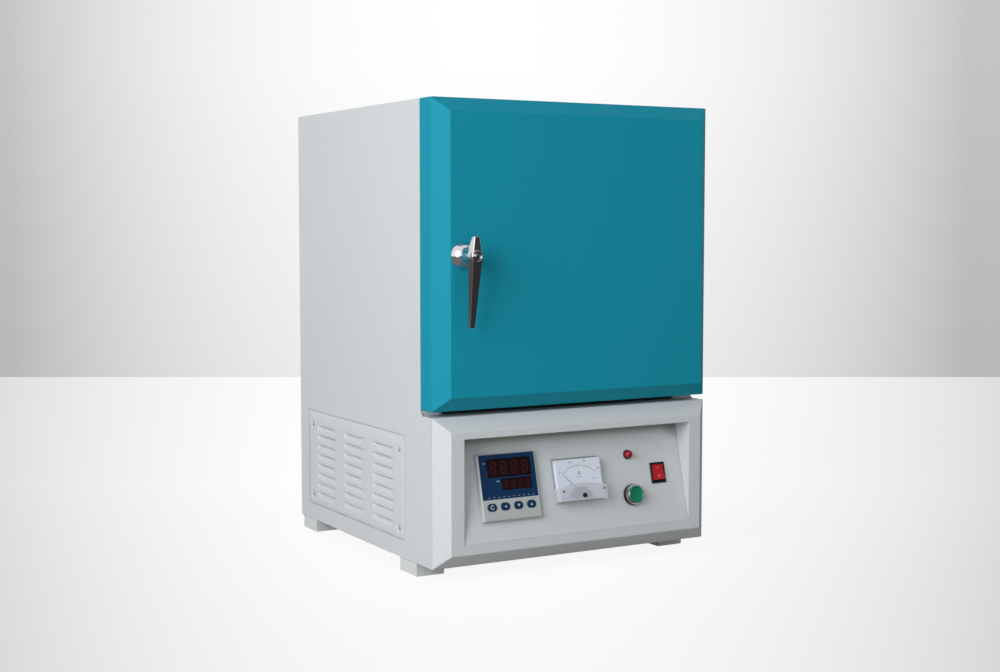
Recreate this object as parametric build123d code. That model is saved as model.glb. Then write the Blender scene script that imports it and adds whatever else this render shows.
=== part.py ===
from build123d import *
from math import atan2, cos, degrees, hypot, pi, radians, sin, tan
import os

# Bench box furnace. Millimetres, +X to the right, the door looks towards -Y, +Z up.
# While it is built, x = 0 is the middle of the cabinet, y = 0 the plane in which the chamfers of
# door and control box begin, and z = 0 the underside of the feet. save() then moves every piece
# alike, so that the finished part's origin is the bottom centre of its bounding box.

# Cabinet
cabinet_width = 468.0
cabinet_depth = 444.0
foot_height = 20.0
control_height = 214.0
door_height = 436.0
door_gap = 8.0
door_side_depth = 33.0
door_seal_gap = 1.0
chamfer_inset = 20.0
chamfer_depth = 21.0
sheet = 1.2
sheet_fit = 0.2
bend_radius = 2.0
flange = 14.0
notch_radius = 9.0

# Louvred vent panels in both sides
vent_front_margin = 54.0
vent_bottom_margin = 26.5
vent_length = 357.0
vent_height = 152.5
vent_groove = 0.9
vent_ledge = 9.0
louvre_columns = 3
louvre_rows = 8
louvre_width = 70.0
louvre_column_pitch = 106.0
louvre_pitch = 15.6
louvre_height = 10.5
louvre_depth = 6.0
louvre_end = 5.0
louvre_first = 21.5
lip_width = 14.0
bolt_hole_fit = 0.3

# Feet
foot_width = 44.0
foot_length = 54.0
foot_flare = 4.0
foot_side_inset = 1.5
foot_front_setback = 51.0
foot_rear_setback = 6.0
foot_bolt_radius = 4.0
foot_bolt_head_radius = 6.5
foot_bolt_head_height = 4.0

# Recess of the control box and the sloping instrument panel
recess_side_margin = 41.0
recess_bottom_margin = 33.7
recess_top_margin = 30.2
recess_depth = 38.0
recess_lip = 6.0
panel_sheet = 1.5

# Chamber and insulation
chamber_width = 200.0
chamber_height = 200.0
latch_space = 60.8
wiring_space = 69.6
blanket_wall = 12.0
mouth_margin = 2.0
hearth_thickness = 10.0
hearth_side_gap = 12.0
hearth_end_gap = 22.0
rail_width = 30.0

# Door insulation
plug_gap = 3.0
plug_depth = 20.0
door_slab_width = 330.0
door_slab_gap = 2.0

# Heating elements and thermocouple
strip_width = 6.0
strip_thickness = 2.4
element_gap = 0.3
element_rows = 7
element_pitch = 25.0
element_end_margin = 42.0
element_tail = 52.0
tail_fit = 0.3
terminal_radius = 8.0
terminal_length = 30.0
sheath_radius = 4.0
sheath_bore_fit = 0.1
sheath_reach = 45.0
sheath_below_roof = 45.0
head_radius = 22.0
head_length = 30.0
head_neck_length = 24.0

# Instruments: place on the sloping panel from its bottom middle, then size
controller_from_left, controller_u = 78.8, 77.1
controller_face = 96.0
controller_bezel = 8.0
controller_body = 90.0
controller_body_depth = 78.0
controller_bevel = 1.6
window_width, window_height, window_u = 91.0, 64.0, 14.7
window_sink = 1.0
key_pitch = 21.5
key_width, key_height, key_u = 15.0, 11.0, -28.2
key_fit = 0.25
key_proud = 1.0
key_travel = 0.8
key_well = 4.0

meter_x, meter_u = 2.0, 77.3
meter_width, meter_height = 80.0, 64.0
meter_cover_height = 14.0
meter_hood_height = 20.0
meter_hood_share = 0.4
meter_wall = 1.5
meter_flange = 3.0
meter_can_radius = 25.5
meter_can_depth = 32.0
dial_sheet = 0.8
dial_lift = 4.0
needle_pivot_u = -20.5
needle_length = 40.0
needle_width = 1.2
needle_thickness = 0.5
needle_gap = 1.2
needle_stud_radius = 1.0
needle_stud_fit = 0.05
needle_zero_angle = 44.0
zero_screw_radius = 3.2
zero_screw_u = -24.5
zero_screw_fit = 0.08

lamp_from_right, lamp_u = 95.3, 107.3
lamp_flange_radius = 7.0
lamp_dome_radius = 5.6
lamp_dome_height = 7.0
lamp_body_radius = 5.0
lamp_body_depth = 24.0

button_from_right, button_u = 95.2, 46.6
button_collar_radius = 15.0
button_collar_height = 7.5
button_cap_radius = 12.2
button_cap_proud = 4.0
button_travel = 3.0
button_fit = 0.3
button_floor = 1.2
button_body_radius = 11.0
button_body_depth = 40.0

rocker_from_right, rocker_u = 44.7, 76.0
rocker_width, rocker_height = 26.0, 31.5
rocker_frame_height = 2.0
rocker_rim = 3.2
rocker_body_depth = 24.0
rocker_fit = 0.1
rocker_tilt = 10.0
rocker_well = 14.0
rocker_pivot_depth = 1.0
rocker_pivot_radius = 1.8
rocker_pivot_reach = 1.2
rocker_pivot_fit = 0.06

# Handle, latch and hinges
handle_x_from_left = 39.0
handle_drop = 0.0
rose_radius = 18.5
rose_height = 9.0
neck_radius = 11.0
neck_height = 26.0
lever_hub_radius = 8.8
lever_front = 42.0
lever_tip_front = 27.0
lever_tip_thickness = 4.5
lever_nose = 26.5
lever_reach = 99.0
lever_root_width = 15.0
lever_tip_width = 8.0
lever_nose_width = 8.0
lever_nose_thickness = 7.6
lever_edge = 2.0
lever_gap = 0.4
spindle_radius = 5.0
spindle_fit = 0.08
barrel_radius = 6.0
barrel_fit = 0.06
barrel_proud = 1.2
barrel_depth = 11.0
cam_width = 16.0
cam_reach = 30.0
cam_thickness = 3.0
cam_gap = 0.3
keeper_thickness = 1.0
keeper_width = 14.0
keeper_height = 44.0
latch_slot_fit = 2.5

hinge_barrel_radius = 5.0
hinge_pin_radius = 2.5
hinge_pin_fit = 0.05
hinge_stand_off = 0.5
hinge_height = 66.0
hinge_leaf_width = 27.0
hinge_leaf = 2.0
hinge_gap = 0.4
hinge_inset = 62.0
hinge_pin_cap = 2.0

# Electrical parts in the control box
gland_radius = 12.0
gland_bore_radius = 4.0
gland_reach = 20.0
gland_from_right = 84.0
gland_rise = 42.0
gland_thread_radius = 8.0
control_parts_from_rear = 178.0
regulator_from_left = 114.0
regulator_length, regulator_width, regulator_height = 100.0, 80.0, 60.0
regulator_fins = 9
contactor_x = 20.0
contactor_length, contactor_width, contactor_height = 74.0, 45.0, 80.0
strip_from_right, strip_from_rear = 114.0, 98.0
terminal_length, terminal_depth, terminal_height = 110.0, 24.0, 18.0
terminal_ways = 8

# Places worked out from the sizes above
half = cabinet_width / 2
base_z = foot_height
control_top = base_z + control_height
door_bottom = control_top + door_gap
top_z = door_bottom + door_height
casing_front = door_side_depth + door_seal_gap
casing_rear = casing_front + cabinet_depth
inner_half = half - sheet - sheet_fit
door_mid_z = (door_bottom + top_z) / 2

panel_bottom_z = base_z + recess_bottom_margin
panel_top_z = control_top - recess_top_margin
recess_half = half - recess_side_margin
panel_tilt = atan2(recess_depth, panel_top_z - panel_bottom_z)
panel_length = hypot(recess_depth, panel_top_z - panel_bottom_z)
controller_x = controller_from_left - recess_half
lamp_x = recess_half - lamp_from_right
button_x = recess_half - button_from_right
rocker_x = recess_half - rocker_from_right
panel_frame = Plane(
    origin=(0, -chamfer_depth, panel_bottom_z),
    x_dir=(1, 0, 0),
    z_dir=(0, -cos(panel_tilt), sin(panel_tilt)),
).location

chamber_low = door_mid_z - chamber_height / 2
chamber_high = door_mid_z + chamber_height / 2
block_front = casing_front + sheet
blanket_half = half - latch_space - sheet
block_half = blanket_half - blanket_wall
block_wall = block_half - chamber_width / 2
inner_rear = casing_rear - wiring_space
blanket_rear = inner_rear - sheet
block_rear = blanket_rear - blanket_wall
chamber_rear = block_rear - block_wall

handle_x = -half + handle_x_from_left
handle_z = door_mid_z + handle_drop
hinge_x = half + hinge_stand_off + hinge_barrel_radius
hinge_y = casing_front - door_seal_gap / 2
hinge_heights = (door_bottom + hinge_inset, top_z - hinge_inset)

vent_front = vent_front_margin + casing_front
vent_rear = vent_front + vent_length
vent_low = base_z + vent_bottom_margin
vent_high = vent_low + vent_height

gland_x = half - gland_from_right
regulator_x = regulator_from_left - half
strip_x = half - strip_from_right
parts_y = casing_rear - control_parts_from_rear

# The box of the whole part, and the shift that puts the origin at its bottom centre
box_left = -half
box_right = hinge_x + hinge_barrel_radius
box_front = -chamfer_depth - lever_front - barrel_proud
box_rear = casing_rear + gland_reach
frame_shift = Location((-(box_left + box_right) / 2, -(box_front + box_rear) / 2, 0))


def save(name, shape):
    """Write one piece, moved into the finished part's frame."""
    export_step(frame_shift * shape, f"parts/{name}.step")


def block(x0, x1, y0, y1, z0, z1):
    """A plain rectangular block between two opposite corners."""
    middle = Pos((x0 + x1) / 2, (y0 + y1) / 2, (z0 + z1) / 2)
    return middle * Box(x1 - x0, y1 - y0, z1 - z0)


def along_y(sketch, y0, y1):
    """Extrude an outline drawn in x and z from y0 back to y1."""
    plane = Plane(origin=(0, y0, 0), x_dir=(1, 0, 0), z_dir=(0, -1, 0))
    return extrude(plane * sketch, amount=-(y1 - y0))


def along_x(sketch, x0, x1):
    """Extrude an outline drawn in y and z from x0 to x1."""
    plane = Plane(origin=(x0, 0, 0), x_dir=(0, 1, 0), z_dir=(1, 0, 0))
    return extrude(plane * sketch, amount=x1 - x0)


def rod_y(radius, x, z, y0, y1):
    """A round bar along y."""
    return Pos(x, (y0 + y1) / 2, z) * Rot(90, 0, 0) * Cylinder(radius, y1 - y0)


def turned_y(profile, x, y, z):
    """Revolve a half outline of (radius, distance towards the front) points round a y axis."""
    outline = Polyline(*profile, close=True)
    face = make_face(Plane.XZ * outline)
    return Pos(x, y, z) * Rot(90, 0, 0) * revolve(face, Axis.Z)


def outline_yz(*points):
    """A closed face from (y, z) points, drawn in the sketch plane."""
    return make_face(Polyline(*points, close=True))


def pressed_front(z0, z1, side_depth):
    """Outer form of a pressed front: a flat face, four mitred chamfers and side walls."""
    height = z1 - z0
    back = Plane(origin=(0, 0, (z0 + z1) / 2), x_dir=(1, 0, 0), z_dir=(0, -1, 0))
    face = back.offset(chamfer_depth)
    rim = back * Rectangle(cabinet_width, height)
    front = face * Rectangle(cabinet_width - 2 * chamfer_inset, height - 2 * chamfer_inset)
    form = loft([rim.face(), front.face()], ruled=True)
    if side_depth > 0:
        form += block(-half, half, 0, side_depth, z0, z1)
    return form


def pressed_hollow(z0, z1, side_depth):
    """The space inside a pressed front, one sheet thickness in from its outer form."""
    wall = sheet * hypot(chamfer_inset, chamfer_depth) / chamfer_depth
    depth = chamfer_depth - sheet
    narrow = chamfer_inset * depth / chamfer_depth
    height = z1 - z0
    back = Plane(origin=(0, 0, (z0 + z1) / 2), x_dir=(1, 0, 0), z_dir=(0, -1, 0))
    rim = back * Rectangle(cabinet_width - 2 * wall, height - 2 * wall)
    inner = Rectangle(cabinet_width - 2 * wall - 2 * narrow, height - 2 * wall - 2 * narrow)
    form = loft([rim.face(), (back.offset(depth) * inner).face()], ruled=True)
    if side_depth > 0:
        form += block(-half + sheet, half - sheet, 0, side_depth, z0 + sheet, z1 - sheet)
    return form


def soft_edges(form, behind):
    """Round the bends of a pressed front, all but the edges at or behind a given y."""
    bends = form.edges().filter_by(lambda edge: edge.center().Y < behind)
    return fillet(bends, bend_radius)


def vent_cut(side, margin, thickness):
    """The rectangle of a vent panel grown by a margin, through a thickness from the outside."""
    x0, x1 = sorted((side * half, side * (half - thickness)))
    return block(x0, x1, vent_front - margin, vent_rear + margin, vent_low - margin, vent_high + margin)


def outer_casing():
    """Folded cover: two sides and the top, with cheeks that carry on beside the control box."""
    outer = block(-half, half, 0, casing_rear, base_z, top_z)
    top_bends = outer.edges().filter_by(Axis.Y).sort_by(Axis.Z)[-2:]
    outer = fillet(top_bends, bend_radius + sheet)
    inner = block(-half + sheet, half - sheet, -1, casing_rear + 1, base_z - 1, top_z - sheet)
    inner_bends = inner.edges().filter_by(Axis.Y).sort_by(Axis.Z)[-2:]
    casing = outer - fillet(inner_bends, bend_radius)
    notch = Rectangle(2 * casing_front, 2 * door_height + 2 * door_gap)
    corner = notch.vertices().sort_by(Axis.X)[-2:].sort_by(Axis.Y)[0]
    notch = fillet(corner, notch_radius)
    notch = Pos(0, control_top + door_height + door_gap) * notch
    casing -= along_x(notch, -half - 1, half + 1)
    lip_rear = casing_rear - sheet
    lip_low = base_z + flange + sheet_fit
    lips = block(-half + sheet, half - sheet, lip_rear - sheet, lip_rear, lip_low, top_z - sheet)
    lips -= block(lip_width - half, half - lip_width, 0, casing_rear, base_z, top_z - lip_width)
    casing += lips
    for side in (-1, 1):
        casing -= vent_cut(side, vent_groove, sheet)
        backing = vent_cut(side, vent_ledge, 2 * sheet) - vent_cut(side, vent_ledge, sheet)
        casing += backing - vent_cut(side, -vent_ledge, 2 * sheet)
    return casing


def louvre(side, grow):
    """Wedge with sloping ends: flat along its upper edge, where it is deepest, and open there."""
    deep = louvre_depth + grow
    reach = louvre_width / 2 + grow
    section = make_face(Polyline((0, -louvre_height - 2 * grow), (0, 0), (deep, 0), close=True))
    upright = Plane(origin=(0, 0, 0), x_dir=(-side, 0, 0), z_dir=(0, side, 0))
    wedge = extrude(upright * section, amount=reach, both=True)
    plan = make_face(
        Polyline((0, reach), (0, -reach), (deep, louvre_end - reach), (deep, reach - louvre_end), close=True)
    )
    flat = Plane(origin=(0, 0, -3 * louvre_height), x_dir=(-side, 0, 0), z_dir=(0, 0, 1))
    return wedge & extrude(flat * plan, amount=4 * louvre_height)


def vent_panel(side):
    """Flush panel with rows of louvres pressed inwards, each open along its upper edge."""
    panel = vent_cut(side, 0, sheet)
    middle_y = (vent_front + vent_rear) / 2
    columns = [middle_y + louvre_column_pitch * (c - (louvre_columns - 1) / 2) for c in range(louvre_columns)]
    rows = [vent_high - louvre_first - louvre_pitch * r for r in range(louvre_rows)]
    places = [Pos(side * half, y, z) for y in columns for z in rows]
    pressed = louvre(side, sheet)
    hollow = louvre(side, 0)
    panel += [place * pressed for place in places]
    panel -= [place * hollow for place in places]
    return panel


def base_pan():
    """Bottom tray with four upturned edges, drilled for the foot bolts."""
    x1 = inner_half
    y0, y1 = flange, casing_rear - sheet
    tray = block(-x1, x1, y0, y1, base_z, base_z + flange)
    tray -= block(-x1 + sheet, x1 - sheet, y0 + sheet, y1 - sheet, base_z + sheet, base_z + 2 * flange)
    for x, y in foot_places():
        tray -= Pos(x, y, base_z) * Cylinder(foot_bolt_radius + bolt_hole_fit, 4 * sheet)
    return tray


def foot_places():
    """Middle of each foot, as (x, y): front left, front right, rear left, rear right."""
    x = half - foot_side_inset - foot_width / 2
    front = foot_front_setback + foot_length / 2
    rear = casing_rear - foot_rear_setback - foot_length / 2
    return [(-x, front), (x, front), (-x, rear), (x, rear)]


def foot(x, y):
    """Block foot whose ends flare out under the base, bored and counterbored for its bolt."""
    outline = Rectangle(foot_length + 2 * foot_flare, foot_height)
    for end in (-1, 1):
        edge = end * (foot_length / 2 + foot_flare)
        straight = Rectangle(foot_flare, foot_height - foot_flare)
        outline -= Pos(edge - end * foot_flare / 2, -foot_flare / 2) * straight
        outline -= Pos(edge, foot_height / 2 - foot_flare) * Circle(foot_flare)
    form = Pos(0, 0, foot_height / 2) * along_x(outline, -foot_width / 2, foot_width / 2)
    form -= Pos(0, 0, foot_height / 2) * Cylinder(foot_bolt_radius + bolt_hole_fit, foot_height + 2)
    head = Cylinder(foot_bolt_head_radius + bolt_hole_fit, 2 * foot_bolt_head_height)
    return Pos(x, y, 0) * (form - Pos(0, 0, foot_bolt_head_height) * head)


def foot_bolts():
    """One bolt up through each foot, with its head sunk in the foot and its nut in the tray."""
    bolts = []
    shank_top = base_z + 3 * foot_bolt_head_height
    seat = 2 * foot_bolt_head_height
    for x, y in foot_places():
        head = Cylinder(foot_bolt_head_radius, foot_bolt_head_height)
        head = Pos(x, y, seat - foot_bolt_head_height / 2) * head
        shank = Pos(x, y, (seat + shank_top) / 2) * Cylinder(foot_bolt_radius, shank_top - seat)
        nut_plane = Plane.XY.offset(base_z + sheet)
        nut = extrude(nut_plane * RegularPolygon(foot_bolt_head_radius, 6), amount=foot_bolt_head_height)
        bolts.append(head + shank + Pos(x, y, 0) * nut)
    return Compound(children=bolts)


def rear_cover():
    """Flat back that lies against the rear lips of the casing."""
    z1 = top_z - sheet - sheet_fit
    cover = block(-inner_half, inner_half, casing_rear - sheet, casing_rear, base_z, z1)
    cover = fillet(cover.edges().filter_by(Axis.Y).sort_by(Axis.Z)[-2:], bend_radius + sheet_fit)
    gland_z = base_z + gland_rise
    cover -= rod_y(gland_thread_radius, gland_x, gland_z, 0, casing_rear + 1)
    return cover


def front_frame():
    """Front plate round the chamber mouth, with turned edges and the slot for the latch cam."""
    z0, z1 = control_top, top_z - sheet - sheet_fit
    rear = casing_front + sheet
    frame = block(-inner_half, inner_half, casing_front, casing_front + flange, z0, z1)
    frame = fillet(frame.edges().filter_by(Axis.Y).sort_by(Axis.Z)[-2:], bend_radius + sheet_fit)
    frame -= block(-inner_half + sheet, inner_half - sheet, rear, rear + flange, z0 + sheet, z1 - sheet)
    mouth = chamber_width / 2 + mouth_margin
    frame -= block(-mouth, mouth, 0, rear + 1, chamber_low - mouth_margin, chamber_high + mouth_margin)
    slot = cam_width / 2 + latch_slot_fit
    frame -= block(
        handle_x - slot, handle_x + slot, 0, rear + 1, handle_z - slot, handle_z + cam_reach + latch_slot_fit
    )
    return frame


def divider_shelf():
    """Shelf between the furnace body and the control box, with edges turned down."""
    y1 = casing_rear - 2 * sheet
    z0 = control_top - flange
    shelf = block(-inner_half, inner_half, casing_front, y1, z0, control_top)
    shelf -= block(-inner_half + sheet, inner_half - sheet, 0, casing_rear, z0 - 1, control_top - sheet)
    return shelf


def control_fascia():
    """Chamfered bezel of the control box, its returns, and the recess that holds the panel."""
    shell = soft_edges(pressed_front(base_z, control_top, 0), -sheet)
    shell -= pressed_hollow(base_z, control_top, 0)
    returns = block(-inner_half, inner_half, 0, flange, base_z, control_top)
    returns += block(-inner_half, inner_half, 0, casing_front, control_top - sheet, control_top)
    wall = sheet * hypot(chamfer_inset, chamfer_depth) / chamfer_depth
    inner = inner_half - wall
    returns -= block(-inner, inner, -1, casing_front, base_z + wall, control_top - wall)
    foot_line = panel_bottom_z
    lip = recess_lip / cos(panel_tilt)
    walls = along_x(
        outline_yz(
            (-chamfer_depth, foot_line),
            (-chamfer_depth, panel_top_z + sheet),
            (recess_depth - chamfer_depth + lip, panel_top_z + sheet),
            (lip - chamfer_depth, foot_line),
        ),
        -recess_half - sheet,
        recess_half + sheet,
    )
    opening = block(-recess_half, recess_half, -2 * chamfer_depth, casing_rear, foot_line, panel_top_z)
    return shell + returns + walls - opening


def on_panel(x, u, height=0.0):
    """A place on the sloping panel: x across, u up the slope, height out of its face."""
    return panel_frame * Pos(x, u, height)


def panel_hole(x, u, width, height):
    """A square-cornered cut-out through the sloping panel."""
    return on_panel(x, u) * Box(width, height, 8 * panel_sheet)


def instrument_panel():
    """Sloping plate in the recess, cut out for the instruments, with its sides folded back."""
    width = 2 * (recess_half - sheet_fit)
    low, high = -recess_lip, panel_length - 2 * sheet_fit
    middle = (low + high) / 2
    plate = on_panel(0, middle, -recess_lip / 2) * Box(width, high - low, recess_lip)
    inner = Box(width - 2 * panel_sheet, 2 * panel_length, 2 * recess_lip)
    plate -= on_panel(0, middle, -panel_sheet - recess_lip) * inner
    plate -= block(-half, half, -2 * chamfer_depth, casing_rear, 0, panel_bottom_z)
    plate -= block(-half, half, -2 * chamfer_depth, casing_rear, panel_top_z - sheet_fit, top_z)
    cut = controller_body + 2 * sheet_fit
    plate -= panel_hole(controller_x, controller_u, cut, cut)
    plate -= on_panel(meter_x, meter_u) * Cylinder(meter_can_radius + sheet_fit, 8 * panel_sheet)
    plate -= on_panel(lamp_x, lamp_u) * Cylinder(lamp_body_radius + sheet_fit, 8 * panel_sheet)
    plate -= on_panel(button_x, button_u) * Cylinder(button_body_radius + sheet_fit, 8 * panel_sheet)
    body_width, body_height = rocker_body()
    plate -= panel_hole(rocker_x, rocker_u, body_width + 2 * sheet_fit, body_height + 2 * sheet_fit)
    return plate


def rocker_body():
    """Width and height of the part of the rocker switch that stands behind the panel."""
    return rocker_width - 2 * rocker_rim / 2, rocker_height - 2 * rocker_rim / 2


def key_places():
    """Middle of each key on the face of the controller, from the left."""
    return [(controller_x + key_pitch * (i - 1.5), controller_u + key_u) for i in range(4)]


def controller_case():
    """Panel instrument with a bevelled square bezel, a window seat and four key wells."""
    case = Pos(0, 0, controller_bezel / 2) * Box(controller_face, controller_face, controller_bezel)
    front = case.faces().sort_by(Axis.Z)[-1].edges()
    case = chamfer(front, controller_bevel)
    body = Box(controller_body, controller_body, controller_body_depth)
    case += Pos(0, 0, -controller_body_depth / 2) * body
    seat = Box(window_width + sheet_fit, window_height + sheet_fit, 2 * window_sink)
    case -= Pos(0, window_u, controller_bezel) * seat
    for x, u in key_places():
        well = extrude(SlotOverall(key_width + 2 * key_fit, key_height + 2 * key_fit), amount=key_well)
        case -= Pos(x - controller_x, u - controller_u, controller_bezel - key_well) * well
    return on_panel(controller_x, controller_u) * case


def controller_window():
    """Dark window over the two displays, a little proud of its seat."""
    plate = Box(window_width, window_height, window_sink)
    lift = controller_bezel - window_sink / 2
    return on_panel(controller_x, controller_u + window_u, lift) * plate


def controller_key(x, u):
    """Oval key whose head stands a little proud of the bezel."""
    height = key_well - key_travel - sheet_fit + key_proud
    key = extrude(SlotOverall(key_width, key_height), amount=height)
    key = chamfer(key.faces().sort_by(Axis.Z)[-1].edges(), key_proud / 2)
    return on_panel(x, u, controller_bezel + key_proud - height) * key


def meter_form(grow, base):
    """Side view of the meter's cover, low over the dial and higher over the movement."""
    top = meter_height / 2 + grow
    step = -meter_height / 2 + meter_height * meter_hood_share
    slope = meter_hood_height - meter_cover_height
    return make_face(
        Polyline(
            (-top, base),
            (-top, meter_hood_height + grow),
            (step - slope + grow, meter_hood_height + grow),
            (step + grow, meter_cover_height + grow),
            (top, meter_cover_height + grow),
            (top, base),
            close=True,
        )
    )


def meter_prism(sketch, width):
    """Extrude a side view of the meter across its width."""
    plane = Plane(origin=(-width / 2, 0, 0), x_dir=(0, 1, 0), z_dir=(1, 0, 0))
    return extrude(plane * sketch, amount=width)


def ammeter_case():
    """Flange of the meter with a raised bed for the dial, and the round can behind the panel."""
    case = Pos(0, 0, meter_flange / 2) * Box(meter_width, meter_height, meter_flange)
    wall = meter_wall + sheet_fit
    bed = Box(meter_width - 2 * wall, meter_height - 2 * wall, dial_lift)
    case += Pos(0, 0, dial_lift / 2) * bed
    case += Pos(0, 0, -meter_can_depth / 2) * Cylinder(meter_can_radius, meter_can_depth)
    return on_panel(meter_x, meter_u) * case


def ammeter_dial():
    """Thin white plate on the bed, which also carries the pivot stud of the needle."""
    wall = meter_wall + 2 * sheet_fit
    plate = Box(meter_width - 2 * wall, meter_height - 2 * wall, dial_sheet)
    dial = Pos(0, 0, dial_lift + dial_sheet / 2) * plate
    stud_height = needle_gap + 2 * needle_thickness
    stud = Cylinder(needle_stud_radius, stud_height)
    dial += Pos(0, needle_pivot_u, dial_lift + dial_sheet + stud_height / 2) * stud
    return on_panel(meter_x, meter_u) * dial


def ammeter_needle():
    """Tapered pointer with a round hub, at rest at the left end of its scale."""
    blade = make_face(
        Polyline(
            (-needle_width, 0), (needle_width, 0), (needle_width / 4, needle_length),
            (-needle_width / 4, needle_length), close=True,
        )
    )
    pointer = extrude(blade, amount=needle_thickness)
    pointer += Pos(0, 0, needle_thickness / 2) * Cylinder(2.5 * needle_width, needle_thickness)
    pointer -= Cylinder(needle_stud_radius + needle_stud_fit, 4 * needle_thickness)
    lift = dial_lift + dial_sheet + needle_gap
    return on_panel(meter_x, meter_u + needle_pivot_u, lift) * Rot(0, 0, needle_zero_angle) * pointer


def ammeter_cover():
    """Clear moulded cover, open to the back, with a hood over the movement."""
    shell = meter_prism(meter_form(0, meter_flange), meter_width)
    shell = chamfer(shell.edges().filter_by(Axis.Z), meter_wall / 2)
    shell -= meter_prism(meter_form(-meter_wall, 0), meter_width - 2 * meter_wall)
    hole = Cylinder(zero_screw_radius + zero_screw_fit, 4 * meter_wall)
    shell -= Pos(0, zero_screw_u, meter_hood_height) * hole
    return on_panel(meter_x, meter_u) * shell


def ammeter_zero_screw():
    """Slotted screw in the hood that sets the needle to zero."""
    screw = Cylinder(zero_screw_radius, 2 * meter_wall)
    slot = Box(2 * zero_screw_radius, zero_screw_radius / 3, meter_wall)
    screw -= Pos(0, 0, 1.5 * meter_wall) * slot
    return on_panel(meter_x, meter_u + zero_screw_u, meter_hood_height) * screw


def pilot_lamp():
    """Lamp with a low flange, a domed lens and a body behind the panel."""
    body = Pos(0, 0, -lamp_body_depth / 2) * Cylinder(lamp_body_radius, lamp_body_depth)
    rim_height = lamp_dome_height / 4
    rim = Pos(0, 0, rim_height / 2) * Cylinder(lamp_flange_radius, rim_height)
    rise = lamp_dome_height - rim_height
    ball_radius = (lamp_dome_radius**2 + rise**2) / (2 * rise)
    ball = Pos(0, 0, lamp_dome_height - ball_radius) * Sphere(ball_radius)
    above = Pos(0, 0, rim_height + lamp_dome_height) * Box(40, 40, 2 * lamp_dome_height)
    return on_panel(lamp_x, lamp_u) * (body + rim + (ball & above))


def push_button_collar():
    """Round collar with the body behind the panel and a bore for the cap."""
    bore = button_cap_radius + button_fit
    step = (button_collar_radius - bore) / 2
    profile = Polyline(
        (0, -button_body_depth),
        (button_body_radius, -button_body_depth),
        (button_body_radius, 0),
        (button_collar_radius, 0),
        (button_collar_radius, button_collar_height - step),
        (button_collar_radius - step, button_collar_height),
        (bore, button_collar_height),
        (bore, button_floor),
        (0, button_floor),
        close=True,
    )
    return on_panel(button_x, button_u) * revolve(make_face(Plane.XZ * profile), Axis.Z)


def push_button_cap():
    """Round cap with a rounded rim, which slides in the collar."""
    low = button_floor + button_travel + button_fit
    high = button_collar_height + button_cap_proud
    cap = Cylinder(button_cap_radius, high - low)
    cap = fillet(cap.edges().sort_by(Axis.Z)[-1], button_cap_proud / 3)
    return on_panel(button_x, button_u, (low + high) / 2) * cap


def rocker_frame():
    """Rectangular frame with a well for the key, its pivot holes and a body behind the panel."""
    frame = Pos(0, 0, rocker_frame_height / 2) * Box(rocker_width, rocker_height, rocker_frame_height)
    frame = chamfer(frame.faces().sort_by(Axis.Z)[-1].edges(), rocker_frame_height / 3)
    body_width, body_height = rocker_body()
    frame += Pos(0, 0, -rocker_body_depth / 2) * Box(body_width, body_height, rocker_body_depth)
    well_width = rocker_width - 2 * rocker_rim
    well_height = rocker_height - 2 * rocker_rim
    well = Box(well_width, well_height, 2 * rocker_well)
    frame -= well
    pivot = Cylinder(rocker_pivot_radius + rocker_pivot_fit, well_width + 2 * rocker_pivot_reach)
    frame -= Pos(0, 0, -rocker_pivot_depth) * Rot(0, 90, 0) * pivot
    return on_panel(rocker_x, rocker_u) * frame


def rocker_key():
    """Wide key with two sloping faces on two pivots, at rest with its lower half tipped out."""
    tilt = radians(rocker_tilt)
    top = rocker_pivot_depth + rocker_frame_height
    well_half = rocker_height / 2 - rocker_rim
    reach = well_half * cos(tilt) - (top + rocker_frame_height) * sin(tilt) - rocker_fit
    rise = reach * tan(tilt)
    width = rocker_width - 2 * rocker_rim - 4 * rocker_fit
    side = make_face(
        Polyline(
            (-reach, top + rise), (0, top), (reach, top + rise),
            (reach, top - rocker_frame_height), (reach / 2, -rocker_well / 2),
            (-reach / 2, -rocker_well / 2), (-reach, top - rocker_frame_height),
            close=True,
        )
    )
    plane = Plane(origin=(-width / 2, 0, 0), x_dir=(0, 1, 0), z_dir=(1, 0, 0))
    key = extrude(plane * side, amount=width)
    well_width = rocker_width - 2 * rocker_rim
    pivots = Cylinder(rocker_pivot_radius, well_width + 2 * rocker_pivot_reach - 4 * rocker_fit)
    key += Rot(0, 90, 0) * pivots
    return on_panel(rocker_x, rocker_u, -rocker_pivot_depth) * Rot(-rocker_tilt, 0, 0) * key


def chamber_slab(x0, x1, y1, z0, z1):
    """A fibre block that runs back from the front frame."""
    return block(x0, x1, block_front, y1, z0, z1)


def element_heights():
    """Height of each straight run of a heating element."""
    middle = (element_rows - 1) / 2
    return [door_mid_z + element_pitch * (i - middle) for i in range(element_rows)]


def element_x(side):
    """Middle of the heating strip beside a chamber wall."""
    return side * (chamber_width / 2 - element_gap - strip_thickness / 2)


def tail_places():
    """The four tails of the heating elements, as (x, z)."""
    heights = element_heights()
    return [(element_x(side), z) for side in (-1, 1) for z in (heights[0], heights[-1])]


def tail_slots(fit, y0, y1):
    """Passages for the element tails, grown by a fit on every side."""
    width = strip_thickness / 2 + fit
    height = strip_width / 2 + fit
    return [block(x - width, x + width, y0, y1, z - height, z + height) for x, z in tail_places()]


def sheath_hole(radius, y0, y1):
    """Passage for the thermocouple below the chamber roof."""
    return rod_y(radius, 0, chamber_high - sheath_below_roof, y0, y1)


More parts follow.
